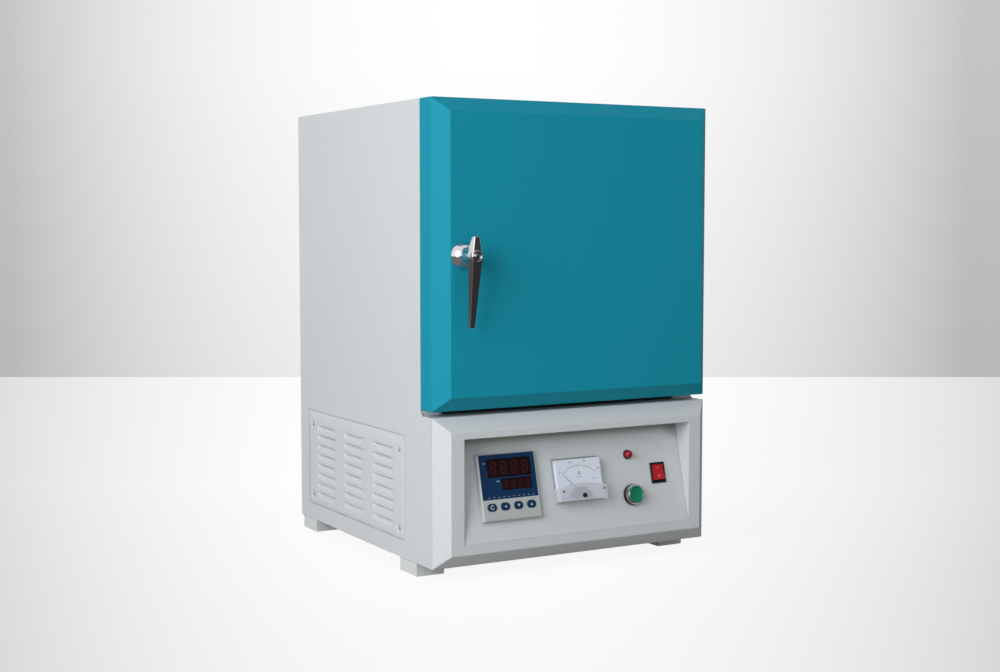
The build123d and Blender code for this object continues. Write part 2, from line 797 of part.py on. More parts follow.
def chamber_rear_block():
    """Rear fibre block, bored for the element tails and the thermocouple."""
    low, high = chamber_low - block_wall, chamber_high + block_wall
    slab = block(-block_half, block_half, chamber_rear, block_rear, low, high)
    slab -= tail_slots(tail_fit, chamber_rear - 1, block_rear + 1)
    return slab - sheath_hole(sheath_radius + tail_fit, chamber_rear - 1, block_rear + 1)


def insulation_blanket():
    """Blanket round the blocks, open to the front."""
    low, high = chamber_low - block_wall, chamber_high + block_wall
    wrap = chamber_slab(-blanket_half, blanket_half, blanket_rear, low - blanket_wall, high + blanket_wall)
    wrap -= block(-block_half, block_half, 0, block_rear, low, high)
    wrap -= tail_slots(tail_fit, block_rear - 1, blanket_rear + 1)
    return wrap - sheath_hole(sheath_radius + tail_fit, block_rear - 1, blanket_rear + 1)


def inner_casing():
    """Sheet box round the blanket, open to the front, on two folded rails."""
    outer = blanket_half + sheet
    low = chamber_low - block_wall - blanket_wall
    high = chamber_high + block_wall + blanket_wall
    shell = chamber_slab(-outer, outer, inner_rear, low - sheet, high + sheet)
    shell -= block(-blanket_half, blanket_half, 0, blanket_rear, low, high)
    front = casing_front + flange
    rail = block(-rail_width / 2, rail_width / 2, front, inner_rear, control_top, low - sheet)
    rail -= block(
        sheet - rail_width / 2, rail_width / 2 - sheet, 0, casing_rear, control_top + sheet, low - 2 * sheet
    )
    for side in (-1, 1):
        shell += Pos(side * (outer - rail_width), 0, 0) * rail
    shell -= tail_slots(3 * tail_fit, blanket_rear - 1, inner_rear + 1)
    return shell - sheath_hole(sheath_radius + 3 * tail_fit, blanket_rear - 1, inner_rear + 1)


def hearth_plate():
    """Loose plate on the chamber floor that carries the load."""
    x = chamber_width / 2 - hearth_side_gap
    y0 = block_front + plug_depth + hearth_end_gap / 2
    return block(-x, x, y0, chamber_rear - hearth_end_gap, chamber_low, chamber_low + hearth_thickness)


def heating_element(side):
    """Flat strip bent edgewise: level runs joined by half rings, with two tails out at the rear."""
    heights = element_heights()
    front = block_front + plug_depth + element_end_margin
    rear = chamber_rear - element_end_margin
    tail_end = inner_rear + element_tail / 2
    inner, outer = (element_pitch - strip_width) / 2, (element_pitch + strip_width) / 2
    outline = Sketch()
    for i, z in enumerate(heights):
        end = tail_end if z in (heights[0], heights[-1]) else rear
        outline += Pos((front + end) / 2, z) * Rectangle(end - front, strip_width)
        if i < element_rows - 1:
            y, turn = (front, 90) if i % 2 == 0 else (rear, -90)
            ring = Circle(outer) - Circle(inner)
            half_ring = ring & (Rot(0, 0, turn) * Pos(0, outer) * Rectangle(2 * outer, 2 * outer))
            outline += Pos(y, z + element_pitch / 2) * half_ring
    x = element_x(side)
    return along_x(outline, x - strip_thickness / 2, x + strip_thickness / 2)


def element_terminals():
    """Ceramic bushings behind the inner casing, one round each element tail."""
    reach = element_tail / 2 - 4
    bore = block(
        -strip_thickness / 2 - tail_fit, strip_thickness / 2 + tail_fit, -1, reach + 1,
        -strip_width / 2 - tail_fit, strip_width / 2 + tail_fit,
    )
    bushing = rod_y(terminal_radius * 1.4, 0, 0, 0, 4) + rod_y(terminal_radius, 0, 0, 4, reach) - bore
    return Compound(children=[Pos(x, inner_rear, z) * bushing for x, z in tail_places()])


def thermocouple_sheath():
    """Ceramic tube with a closed, rounded end in the chamber."""
    end = inner_rear + head_neck_length
    tube = rod_y(sheath_radius, 0, chamber_high - sheath_below_roof, chamber_rear - sheath_reach, end)
    return fillet(tube.edges().sort_by(Axis.Y)[0], sheath_radius * 0.9)


def thermocouple_head():
    """Connection head behind the inner casing, on a flanged neck."""
    bore = sheath_radius + sheath_bore_fit
    neck = head_neck_length
    profile = (
        (bore, 0), (head_radius * 0.8, 0), (head_radius * 0.8, -3), (sheath_radius * 2, -3),
        (sheath_radius * 2, -neck), (head_radius, -neck - 2), (head_radius, -neck - head_length + 6),
        (head_radius - 6, -neck - head_length), (0, -neck - head_length), (0, -neck - sheet_fit),
        (bore, -neck - sheet_fit),
    )
    return turned_y(profile, 0, inner_rear, chamber_high - sheath_below_roof)


def door_skin():
    """Pressed outer door: flat face, mitred chamfers and side walls in one sheet."""
    form = soft_edges(pressed_front(door_bottom, top_z, door_side_depth), door_side_depth - sheet)
    form -= pressed_hollow(door_bottom, top_z, door_side_depth + 1)
    return form - rod_y(spindle_radius + 2, handle_x, handle_z, -2 * chamfer_depth, 0)


def door_liner():
    """Back of the door: a plate with edges turned forwards, open round the plug."""
    z0, z1 = door_bottom + sheet + sheet_fit, top_z - sheet - sheet_fit
    front, rear = door_side_depth - flange, door_side_depth
    liner = block(-inner_half, inner_half, front, rear, z0, z1)
    liner -= block(-inner_half + sheet, inner_half - sheet, 0, rear - sheet, z0 + sheet, z1 - sheet)
    plug = chamber_width / 2 - plug_gap + sheet_fit
    liner -= block(-plug, plug, 0, rear + 1, door_mid_z - plug, door_mid_z + plug)
    return liner - rod_y(spindle_radius + 2, handle_x, handle_z, front, rear + 1)


def door_insulation():
    """Formed fibre block in the door with a stepped plug that closes the chamber mouth."""
    slab_half = door_slab_width / 2
    front = sheet + door_slab_gap - chamfer_depth
    rear = door_side_depth - sheet - sheet_fit
    slab = block(-slab_half, slab_half, front, rear, door_mid_z - slab_half, door_mid_z + slab_half)
    plug_x = chamber_width / 2 - plug_gap
    plug_z = chamber_height / 2 - plug_gap
    tip = casing_front + sheet + plug_depth
    plug = block(-plug_x, plug_x, rear, tip, door_mid_z - plug_z, door_mid_z + plug_z)
    rim = plug.faces().sort_by(Axis.Y)[-1].edges()
    return slab + chamfer(rim, 4)


def handle_rose():
    """Round base of the handle with a tapered neck, bored for the spindle."""
    bore = spindle_radius + spindle_fit
    profile = (
        (bore, 0), (rose_radius, 0), (rose_radius, 2), (rose_radius - 2, 5),
        (neck_radius + 3, rose_height), (neck_radius, rose_height + 3),
        (neck_radius - 1, neck_height), (bore, neck_height),
    )
    return turned_y(profile, handle_x, -chamfer_depth, handle_z)


def handle_lever():
    """Tapered lever: front outline and side outline crossed, then its long edges are cut away."""
    back = neck_height + lever_gap
    root, tip, nose = lever_root_width / 2, lever_tip_width / 2, lever_nose_width / 2
    front_view = make_face(
        Polyline(
            (-root, 0), (-tip, -lever_reach), (tip, -lever_reach), (root, 0),
            (nose, lever_nose), (-nose, lever_nose), close=True,
        )
    )
    front_view += Circle(lever_hub_radius)
    depth = lever_front + 1
    blade = along_y(front_view, -depth, 0)
    side_view = outline_yz(
        (-back, -lever_hub_radius * 1.5),
        (-lever_tip_front + lever_tip_thickness, -lever_reach - 1),
        (-lever_tip_front, -lever_reach - 1),
        (-lever_front, -lever_hub_radius),
        (-lever_front, lever_hub_radius),
        (-lever_front + 1, lever_nose + 1),
        (-lever_front + 1 + lever_nose_thickness, lever_nose + 1),
        (-back, lever_hub_radius * 1.5),
    )
    blade &= along_x(side_view, -2 * lever_root_width, 2 * lever_root_width)
    lever = blade - facet_cutters()
    lever -= rod_y(spindle_radius, 0, 0, -back - barrel_gap(), 0)
    lever -= rod_y(barrel_radius + barrel_fit, 0, 0, -depth, -lever_front + barrel_depth)
    return Pos(handle_x, -chamfer_depth, handle_z) * lever


def barrel_gap():
    """How far the spindle reaches into the lever, short of the lock barrel."""
    return lever_front - barrel_depth - neck_height - 3 * lever_gap


def facet_cutters():
    """Wedges that bevel the two long front edges of the lever, above and below its hub."""
    cutters = []
    for side in (-1, 1):
        low_face = Plane(origin=(side * lever_root_width / 2, -lever_front, -lever_hub_radius))
        out = side * lever_edge
        corner = Polyline((out, lever_edge), (out, -lever_edge), (-1.5 * out, -lever_edge), close=True)
        top = make_face(low_face * corner)
        drift_x = -side * (lever_root_width - lever_tip_width) / 2
        drift_y = lever_front - lever_tip_front
        foot_origin = (side * lever_root_width / 2 + drift_x, -lever_front + drift_y, -lever_reach - 2)
        bottom = make_face(Plane(origin=foot_origin) * corner)
        cutters.append(loft([bottom, top], ruled=True))
    return cutters


def handle_spindle():
    """Round spindle through the door, from the lever to the cam."""
    front = -chamfer_depth - neck_height - lever_gap - barrel_gap()
    return rod_y(spindle_radius, handle_x, handle_z, front, cam_front())


def cam_front():
    """Face of the latch cam that draws up behind the keeper."""
    return casing_front + sheet + keeper_thickness + cam_gap


def lock_barrel():
    """Key cylinder in the hub of the lever, with a key slot in its face."""
    front = -chamfer_depth - lever_front - barrel_proud
    rear = -chamfer_depth - lever_front + barrel_depth - lever_gap
    barrel = rod_y(barrel_radius, handle_x, handle_z, front, rear)
    barrel = chamfer(barrel.edges().sort_by(Axis.Y)[0], barrel_proud / 2)
    slot = block(-0.8, 0.8, front - 1, front + 3, -barrel_radius / 2, barrel_radius / 2)
    return barrel - Pos(handle_x, 0, handle_z) * slot


def latch_cam():
    """Flat cam on the end of the spindle, at rest pointing up and clear of the keeper."""
    outline = Circle(cam_width / 2) + Pos(0, cam_reach / 2) * Rectangle(cam_width, cam_reach)
    corners = outline.vertices().sort_by(Axis.Y)[-2:]
    outline = fillet(corners, cam_width / 4)
    front = cam_front()
    return Pos(handle_x, 0, handle_z) * along_y(outline, front, front + cam_thickness)


def latch_keeper():
    """Wear plate riveted behind the front frame, beside the slot."""
    right = handle_x - cam_width / 2 - latch_slot_fit
    rear = casing_front + sheet
    plate = RectangleRounded(keeper_width, keeper_height, keeper_width / 4)
    return Pos(right - keeper_width / 2, 0, handle_z) * along_y(plate, rear, rear + keeper_thickness)


def knuckle_spans():
    """Heights of the lower, middle and upper knuckle of a hinge, about its middle."""
    third = hinge_height / 3
    gap = hinge_gap / 2
    lower = (-1.5 * third, -0.5 * third - gap)
    middle = (gap - 0.5 * third, 0.5 * third - gap)
    return [lower, middle, (gap + 0.5 * third, 1.5 * third)]


def hinge_leaf_form(back, spans):
    """One leaf: a plate on the side wall, stepped clear of the other leaf, with its knuckles."""
    clear = hinge_barrel_radius - hinge_gap
    plate = block(
        -hinge_barrel_radius - hinge_stand_off,
        hinge_leaf - hinge_barrel_radius - hinge_stand_off,
        clear, clear + hinge_leaf_width - hinge_barrel_radius,
        -hinge_height / 2, hinge_height / 2,
    )
    leaf = plate
    for z0, z1 in spans:
        web = block(
            -hinge_barrel_radius - hinge_stand_off,
            hinge_leaf - hinge_barrel_radius - hinge_stand_off,
            door_seal_gap / 2, clear + 1, z0, z1,
        )
        leaf += web + Pos(0, 0, (z0 + z1) / 2) * Cylinder(hinge_barrel_radius, z1 - z0)
        leaf -= Pos(0, 0, (z0 + z1) / 2) * Cylinder(hinge_pin_radius + hinge_pin_fit, z1 - z0 + 1)
    if not back:
        leaf = mirror(leaf, Plane.XZ)
    return leaf


def hinge_leaves(back):
    """Both leaves of one kind: on the cabinet at the back, or on the door at the front."""
    spans = knuckle_spans()
    own = [spans[0], spans[2]] if back else [spans[1]]
    leaf = hinge_leaf_form(back, own)
    return Compound(children=[Pos(hinge_x, hinge_y, z) * leaf for z in hinge_heights])


def hinge_pins():
    """Pins with a wide head at each end, one through each hinge."""
    pins = []
    for z in hinge_heights:
        pin = Cylinder(hinge_pin_radius, hinge_height)
        cap = Cylinder(hinge_barrel_radius - 1, hinge_pin_cap)
        for end in (-1, 1):
            pin += Pos(0, 0, end * (hinge_height + hinge_pin_cap) / 2) * cap
        pins.append(Pos(hinge_x, hinge_y, z) * pin)
    return Compound(children=pins)


def cable_gland():
    """Screwed gland in the rear cover, bored for a mains lead, with its nut inside."""
    reach = gland_reach
    profile = (
        (gland_bore_radius, reach), (gland_radius - 4, reach), (gland_radius - 1, reach - 4),
        (gland_radius - 1, 6), (gland_radius, 6), (gland_radius, 0), (gland_thread_radius, 0),
        (gland_thread_radius, -sheet), (gland_radius, -sheet), (gland_radius, -sheet - 5),
        (gland_thread_radius, -sheet - 5), (gland_thread_radius, -12), (gland_bore_radius, -12),
    )
    outline = Polyline(*profile, close=True)
    body = Rot(-90, 0, 0) * revolve(make_face(Plane.XZ * outline), Axis.Z)
    return Pos(gland_x, casing_rear, base_z + gland_rise) * body


def power_regulator():
    """Solid-state regulator on a finned heat sink that stands on the base pan."""
    floor = base_z + sheet
    pitch = regulator_width / regulator_fins
    comb = Pos(0, regulator_height / 8) * Rectangle(regulator_width, regulator_height / 4)
    for i in range(regulator_fins):
        x = pitch * (i + 0.5) - regulator_width / 2
        comb += Pos(x, regulator_height / 2) * Rectangle(pitch / 3, regulator_height)
    reach = regulator_length / 2
    sink = Pos(regulator_x, 0, 0) * along_y(comb, parts_y - reach, parts_y + reach)
    module = Pos(regulator_x, parts_y, regulator_height + 14) * Box(46, 60, 28)
    return Pos(0, 0, floor) * (sink + module)


def contactor():
    """Contactor with its stepped front, on the base pan."""
    floor = base_z + sheet
    steps = make_face(
        Polyline(
            (-contactor_length / 2, 0), (-contactor_length / 2, contactor_height * 0.55),
            (-contactor_length / 4, contactor_height * 0.55), (-contactor_length / 4, contactor_height),
            (contactor_length / 4, contactor_height), (contactor_length / 4, contactor_height * 0.55),
            (contactor_length / 2, contactor_height * 0.55), (contactor_length / 2, 0), close=True,
        )
    )
    body = along_x(steps, -contactor_width / 2, contactor_width / 2)
    return Pos(contactor_x, parts_y, floor) * body


def terminal_strip():
    """Row of barrier terminals on the base pan near the gland."""
    floor = base_z + sheet
    bar = Pos(0, 0, terminal_height / 4) * Box(terminal_length, terminal_depth, terminal_height / 2)
    for i in range(terminal_ways + 1):
        x = (terminal_length - 2) * (i / terminal_ways - 0.5)
        bar += Pos(x, 0, terminal_height / 2) * Box(2, terminal_depth, terminal_height)
    return Pos(strip_x, casing_rear - strip_from_rear, floor) * bar


os.makedirs("parts", exist_ok=True)
low, high = chamber_low - block_wall, chamber_high + block_wall
save("outer_casing", outer_casing())
save("vent_panel_left", vent_panel(-1))
save("vent_panel_right", vent_panel(1))
save("base_pan", base_pan())
save("rear_cover", rear_cover())
save("front_frame", front_frame())
save("divider_shelf", divider_shelf())
save("control_fascia", control_fascia())
save("instrument_panel", instrument_panel())
foot_names = ("foot_front_left", "foot_front_right", "foot_rear_left", "foot_rear_right")
for name, (x, y) in zip(foot_names, foot_places()):
    save(name, foot(x, y))
save("foot_bolts", foot_bolts())
save("chamber_floor_block", chamber_slab(-block_half, block_half, chamber_rear, low, chamber_low))
save("chamber_roof_block", chamber_slab(-block_half, block_half, chamber_rear, chamber_high, high))
for name, side in (("chamber_left_block", -1), ("chamber_right_block", 1)):
    x0, x1 = sorted((side * block_half, side * chamber_width / 2))
    save(name, chamber_slab(x0, x1, chamber_rear, chamber_low, chamber_high))
save("chamber_rear_block", chamber_rear_block())
save("insulation_blanket", insulation_blanket())
save("inner_casing", inner_casing())
save("hearth_plate", hearth_plate())
save("heating_element_left", heating_element(-1))
save("heating_element_right", heating_element(1))
save("element_terminals", element_terminals())
save("thermocouple_sheath", thermocouple_sheath())
save("thermocouple_head", thermocouple_head())
save("controller_case", controller_case())
save("controller_window", controller_window())
for number, (x, u) in enumerate(key_places(), 1):
    save(f"controller_key_{number}", controller_key(x, u))
save("ammeter_case", ammeter_case())
save("ammeter_dial", ammeter_dial())
save("ammeter_needle", ammeter_needle())
save("ammeter_cover", ammeter_cover())
save("ammeter_zero_screw", ammeter_zero_screw())
save("pilot_lamp", pilot_lamp())
save("push_button_collar", push_button_collar())
save("push_button_cap", push_button_cap())
save("rocker_frame", rocker_frame())
save("rocker_key", rocker_key())
save("door_skin", door_skin())
save("door_liner", door_liner())
save("door_insulation", door_insulation())
save("handle_rose", handle_rose())
save("handle_lever", handle_lever())
save("handle_spindle", handle_spindle())
save("lock_barrel", lock_barrel())
save("latch_cam", latch_cam())
save("latch_keeper", latch_keeper())
save("cabinet_hinge_leaves", hinge_leaves(True))
save("door_hinge_leaves", hinge_leaves(False))
save("hinge_pins", hinge_pins())
save("cable_gland", cable_gland())
save("power_regulator", power_regulator())
save("contactor", contactor())
save("terminal_strip", terminal_strip())
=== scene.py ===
"""Studio picture of a bench box furnace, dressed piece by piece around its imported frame."""
from math import cos, pi, radians, sin

import bmesh
import bpy
import numpy as np
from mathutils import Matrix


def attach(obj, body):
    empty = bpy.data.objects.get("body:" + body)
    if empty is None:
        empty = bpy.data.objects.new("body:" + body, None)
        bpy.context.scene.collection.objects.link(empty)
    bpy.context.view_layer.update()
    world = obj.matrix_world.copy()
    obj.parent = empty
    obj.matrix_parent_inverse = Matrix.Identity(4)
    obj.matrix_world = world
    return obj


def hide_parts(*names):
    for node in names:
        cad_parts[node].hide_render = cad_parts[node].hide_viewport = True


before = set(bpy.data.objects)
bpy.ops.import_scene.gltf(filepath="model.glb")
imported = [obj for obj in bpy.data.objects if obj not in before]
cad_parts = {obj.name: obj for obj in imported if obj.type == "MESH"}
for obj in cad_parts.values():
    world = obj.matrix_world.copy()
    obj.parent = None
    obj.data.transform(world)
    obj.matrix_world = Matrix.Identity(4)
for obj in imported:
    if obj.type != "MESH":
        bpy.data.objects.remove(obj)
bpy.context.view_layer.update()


# Studio: a pale floor, a wall that greys towards its edges and its foot, a large soft lamp from the
# left, a weak one in front, and a dim room that polished metal mirrors. The camera stands in front
# of the furnace, to its left, and looks slightly down.
camera_place = (-1.19595, -2.1014, 0.5069)
heading = radians(-29.5)
camera = bpy.data.objects.new("camera", bpy.data.cameras.new("camera"))
camera.location = camera_place
camera.rotation_euler = (radians(85.72), 0, heading)
camera.data.lens = 55.08
camera.data.sensor_width = 36
bpy.context.scene.collection.objects.link(camera)
bpy.context.scene.camera = camera
bpy.context.scene.view_settings.view_transform = "Standard"


def node(tree, kind, **values):
    """A shader node with its settings, and its sockets where a name isn't a setting."""
    made = tree.nodes.new("ShaderNode" + kind)
    for name, value in values.items():
        if name in made.bl_rna.properties:
            setattr(made, name, value)
        else:
            made.inputs[name.replace("_", " ")].default_value = value
    return made


def calculated(tree, operation, *values, **settings):
    """Result of a Math node. Each of its values is a socket or a number."""
    made = node(tree, "Math", operation=operation, **settings)
    for value, socket in zip(values, made.inputs):
        if isinstance(value, (int, float)):
            socket.default_value = value
        else:
            tree.links.new(value, socket)
    return made.outputs[0]


def ramp(tree, value, start, end, low, high, **settings):
    """Value scaled from start..end to low..high, and held at both ends."""
    made = node(tree, "MapRange", clamp=True, **settings)
    limits = {"From Min": start, "From Max": end, "To Min": low, "To Max": high}
    for name, limit in limits.items():
        made.inputs[name].default_value = limit
    tree.links.new(value, made.inputs["Value"])
    return made.outputs[0]


def coordinate(tree, axis):
    """X, Y or Z of the shaded point, in its object's coordinates."""
    parts = node(tree, "SeparateXYZ")
    tree.links.new(node(tree, "TexCoord").outputs["Object"], parts.inputs[0])
    return parts.outputs[axis]


def seen_by(tree, *rays):
    """1 for the named kinds of ray, such as those from the camera or through glass, otherwise 0."""
    path = node(tree, "LightPath")
    total = 0.0
    for ray in rays:
        total = calculated(tree, "ADD", total, path.outputs[f"Is {ray} Ray"], use_clamp=True)
    return total


def chosen(tree, share, first, second):
    """Mix of two shaders, by the share of the second."""
    mixed = node(tree, "MixShader")
    for value, socket in zip((share, first, second), mixed.inputs):
        tree.links.new(value, socket)
    return mixed.outputs[0]


def falling_off(tree, reach, power, amount, spreading):
    """1 - amount x (distance from the middle line / reach) ^ power, but never below 0.55.

    Spreading, the reach grows with Y.
    """
    aside = calculated(tree, "ABSOLUTE", coordinate(tree, "X"))
    if spreading:
        reach = calculated(tree, "MULTIPLY", coordinate(tree, "Y"), reach)
    curve = calculated(tree, "POWER", calculated(tree, "DIVIDE", aside, reach), power)
    left = calculated(tree, "MULTIPLY_ADD", curve, -amount, 1.0, use_clamp=True)
    return calculated(tree, "MAXIMUM", left, 0.55)


def stage_plane(name, corners, place):
    """Flat square that faces along the camera's heading, shaded in its own coordinates."""
    mesh = bpy.data.meshes.new(name)
    mesh.from_pydata(corners, [], [(0, 1, 2, 3)])
    plane = bpy.data.objects.new(name, mesh)
    plane.location = place
    plane.rotation_euler = (0, 0, heading)
    bpy.context.scene.collection.objects.link(plane)
    material = bpy.data.materials.new(name)
    material.use_nodes = True
    material.node_tree.nodes.clear()
    mesh.materials.append(material)
    return material.node_tree


reach, height, length = 9, 6, 12
tree = stage_plane(
    "wall", [(-reach, 0, 0), (reach, 0, 0), (reach, 0, height), (-reach, 0, height)],
    (1.22, 2.2476, 0),
)
glow = node(tree, "Emission", Color=(1.0, 1.0, 1.0, 1))
sideways = falling_off(tree, 1.55, 2.3, 0.45, False)
upwards = ramp(tree, coordinate(tree, "Z"), 0.0, 1.0, 0.87, 1.0)
tree.links.new(calculated(tree, "MULTIPLY", sideways, upwards), glow.inputs["Strength"])
front = calculated(tree, "SUBTRACT", 1.0, node(tree, "NewGeometry").outputs["Backfacing"])
direct = calculated(tree, "MULTIPLY", seen_by(tree, "Camera", "Glossy", "Transmission"), front)
wall = chosen(tree, direct, node(tree, "BsdfTransparent").outputs[0], glow.outputs[0])
tree.links.new(wall, node(tree, "OutputMaterial").inputs[0])

# The camera sees the floor pale. Metal mirrors it dark, and lighter to its left than far away or to
# its right. All else is lit by a dull floor.
tree = stage_plane(
    "floor", [(-reach, 0, 0), (reach, 0, 0), (reach, length, 0), (-reach, length, 0)],
    (*camera_place[:2], 0),
)
lift = node(tree, "Emission", Color=(1.0, 1.0, 1.0, 1))
outwards = falling_off(tree, 0.31, 2.2, 0.25, True)
away = ramp(tree, coordinate(tree, "Y"), 1.6, 2.9, 0.86, 0.965)
tree.links.new(calculated(tree, "MULTIPLY", outwards, away), lift.inputs["Strength"])
pale = node(tree, "AddShader")
tree.links.new(node(tree, "BsdfDiffuse", Color=(0.1, 0.1, 0.1, 1)).outputs[0], pale.inputs[0])
tree.links.new(lift.outputs[0], pale.inputs[1])
bench = node(tree, "Emission", Color=(1.0, 0.92, 0.95, 1))
near = ramp(tree, coordinate(tree, "X"), -0.1, 0.4, 0.2, 0.035)
far = ramp(tree, coordinate(tree, "X"), -3.0, -1.0, 0.35, 1.0)
tree.links.new(calculated(tree, "MULTIPLY", near, far), bench.inputs["Strength"])
dull = node(tree, "BsdfDiffuse", Color=(0.5, 0.49, 0.44, 1))
unlit = chosen(tree, seen_by(tree, "Glossy"), dull.outputs[0], bench.outputs[0])
floor = chosen(tree, seen_by(tree, "Camera", "Transmission"), unlit, pale.outputs[0])
tree.links.new(floor, node(tree, "OutputMaterial").inputs[0])

world = bpy.data.worlds.new("studio")
bpy.context.scene.world = world
world.use_nodes = True
tree = world.node_tree
tree.nodes.clear()
room = node(tree, "Background", Color=(0.92, 0.925, 0.93, 1))
lighting = node(tree, "Background", Color=(0.97, 0.99, 1.0, 1), Strength=0.39)
dim_side = node(tree, "VectorMath", operation="DOT_PRODUCT")
dim_side.inputs[1].default_value = (0.62, -0.78, -0.4)
tree.links.new(node(tree, "TexCoord").outputs["Generated"], dim_side.inputs[0])
dimmed = ramp(
    tree, dim_side.outputs["Value"], 0.15, 0.6, 1.0, 0.05, interpolation_type="SMOOTHSTEP"
)
strength = calculated(tree, "MAXIMUM", node(tree, "LightPath").outputs["Is Camera Ray"], dimmed)
tree.links.new(strength, room.inputs["Strength"])
direct = seen_by(tree, "Camera", "Glossy", "Transmission")
tree.links.new(
    chosen(tree, direct, lighting.outputs[0], room.outputs[0]), node(tree, "OutputWorld").inputs[0]
)

furnace_middle = (0, 0, 0.34)


def soft_lamp(name, towards, distance, size, power):
    """Square lamp at a distance from the middle of the furnace, facing it."""
    lamp = bpy.data.objects.new(name, bpy.data.lights.new(name, "AREA"))
    lamp.data.size = size
    lamp.data.energy = power
    direction = np.array(towards) / np.linalg.norm(towards)
    lamp.location = direction * distance + furnace_middle
    lamp.rotation_euler = (
        np.arccos(direction[2]), 0, np.arctan2(direction[1], direction[0]) + pi / 2
    )
    bpy.context.scene.collection.objects.link(lamp)
    return lamp


soft_lamp("key_lamp", (-0.83, -0.45, 0.29), 3.6, 2.2, 100)
front_lamp = soft_lamp("front_lamp", (0.0, -1.0, 0.03), 3.6, 2.0, 12)
front_lamp.visible_glossy = False


# Outer casing: one folded steel sheet over the top and both sides, with lips behind. It carries
# the light grey powder coat that the fascia, the instrument panel and the rear cover share, with a
# faint orange peel.
def blended(tree, share, first, second, kind="MIX"):
    """Colour between two, by the share of the second. Each is a socket or red, green and blue."""
    made = node(tree, "Mix", data_type="RGBA", blend_type=kind)
    tree.links.new(share, made.inputs[0])
    for value, socket in ((first, made.inputs[6]), (second, made.inputs[7])):
        if isinstance(value, tuple):
            socket.default_value = (*value, 1)
        else:
            tree.links.new(value, socket)
    return made.outputs[2]


def finish(
    name, colour, rough, metal=0.0, drift=0.05, patch=0.06, grain=0.0008, relief=0.00002,
    spread=0.08, specular=0.5, stretch=(1.0, 1.0, 1.0), edge=0.0,
):
    """Finish read from Object coordinates.

    Colour x (1 + drift x slow noise), roughness + spread x fine noise, height = relief x fine
    noise. With edge, sharp edges catch the light as if rounded to that radius.
    """
    material = bpy.data.materials.new(name)
    material.use_nodes = True
    tree = material.node_tree
    shader = tree.nodes["Principled BSDF"]
    shader.inputs["Metallic"].default_value = metal
    shader.inputs["Specular IOR Level"].default_value = specular
    where = node(tree, "TexCoord")
    slow = node(tree, "TexNoise", Scale=1 / patch, Detail=3.0, Roughness=0.55)
    tree.links.new(where.outputs["Object"], slow.inputs["Vector"])
    dark, light = (tuple(part * share for part in colour) for share in (1 - drift, 1 + drift))
    shade = blended(tree, slow.outputs["Fac"], dark, light)
    tree.links.new(shade, shader.inputs["Base Color"])
    stretched = node(tree, "Mapping", Scale=stretch)
    tree.links.new(where.outputs["Object"], stretched.inputs["Vector"])
    fine = node(tree, "TexNoise", Scale=1 / grain, Detail=2.0, Roughness=0.6)
    tree.links.new(stretched.outputs[0], fine.inputs["Vector"])
    worn = ramp(tree, fine.outputs["Fac"], 0.0, 1.0, rough - spread, rough + spread)
    tree.links.new(worn, shader.inputs["Roughness"])
    bump = node(tree, "Bump", Strength=1.0, Distance=relief)
    tree.links.new(fine.outputs["Fac"], bump.inputs["Height"])
    tree.links.new(bump.outputs[0], shader.inputs["Normal"])
    if edge:
        rounded = node(tree, "Bevel", samples=6, Radius=edge)
        tree.links.new(rounded.outputs[0], bump.inputs["Normal"])
    return material


def dress(material, *names):
    """Put a finish on nodes of the frame; round faces shade smoothly up to their sharp edges."""
    for name in names:
        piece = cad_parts[name]
        piece.data.materials.clear()
        piece.data.materials.append(material)
        piece.data.polygons.foreach_set("use_smooth", np.ones(len(piece.data.polygons), bool))
        piece.modifiers.new("joined", "WELD").merge_threshold = 2e-6
        piece.modifiers.new("sharp_edges", "EDGE_SPLIT").split_angle = radians(31)
        piece.modifiers.new("flat_faces", "WEIGHTED_NORMAL").weight = 100


cabinet_grey = (0.60, 0.632, 0.66)
cabinet_paint = finish(
    "cabinet_paint", cabinet_grey, 0.42, drift=0.018, patch=0.16, grain=0.0011,
    relief=0.00002, specular=0.35, edge=0.0016,
)
dress(cabinet_paint, "outer_casing")

middle_x = -0.00525
bend_line_y = -0.2169


def in_frame(x, y, z):
    """Points in m from mm: x from the middle, y from the front's bend line, z from the bench."""
    x, y, z = np.broadcast_arrays(*(np.asarray(v, float) / 1000 for v in (x, y, z)))
    return np.stack((x + middle_x, y + bend_line_y, z), -1)


def grid_faces(rows, columns, around=False):
    """Quads between neighbouring points of a grid; around, its last column meets its first."""
    row, column = np.meshgrid(
        np.arange(rows - 1), np.arange(columns if around else columns - 1), indexing="ij"
    )
    row, column = row.ravel(), column.ravel()
    beside = (column + 1) % columns
    low, high = row * columns, (row + 1) * columns
    return np.stack((low + column, low + beside, high + beside, high + column), 1)


def shape(name, points, faces, material, body, smooth=0.0):
    """New piece in the frame. Faces that meet below the angle smooth shade as one round surface."""
    mesh = bpy.data.meshes.new(name)
    mesh.from_pydata(np.reshape(points, (-1, 3)).tolist(), [], [list(map(int, f)) for f in faces])
    mesh.materials.append(material)
    if smooth:
        mesh.polygons.foreach_set("use_smooth", np.ones(len(mesh.polygons), bool))
        mesh.set_sharp_from_angle(angle=radians(smooth))
    piece = bpy.data.objects.new(name, mesh)
    bpy.context.scene.collection.objects.link(piece)
    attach(piece, body)
    return piece


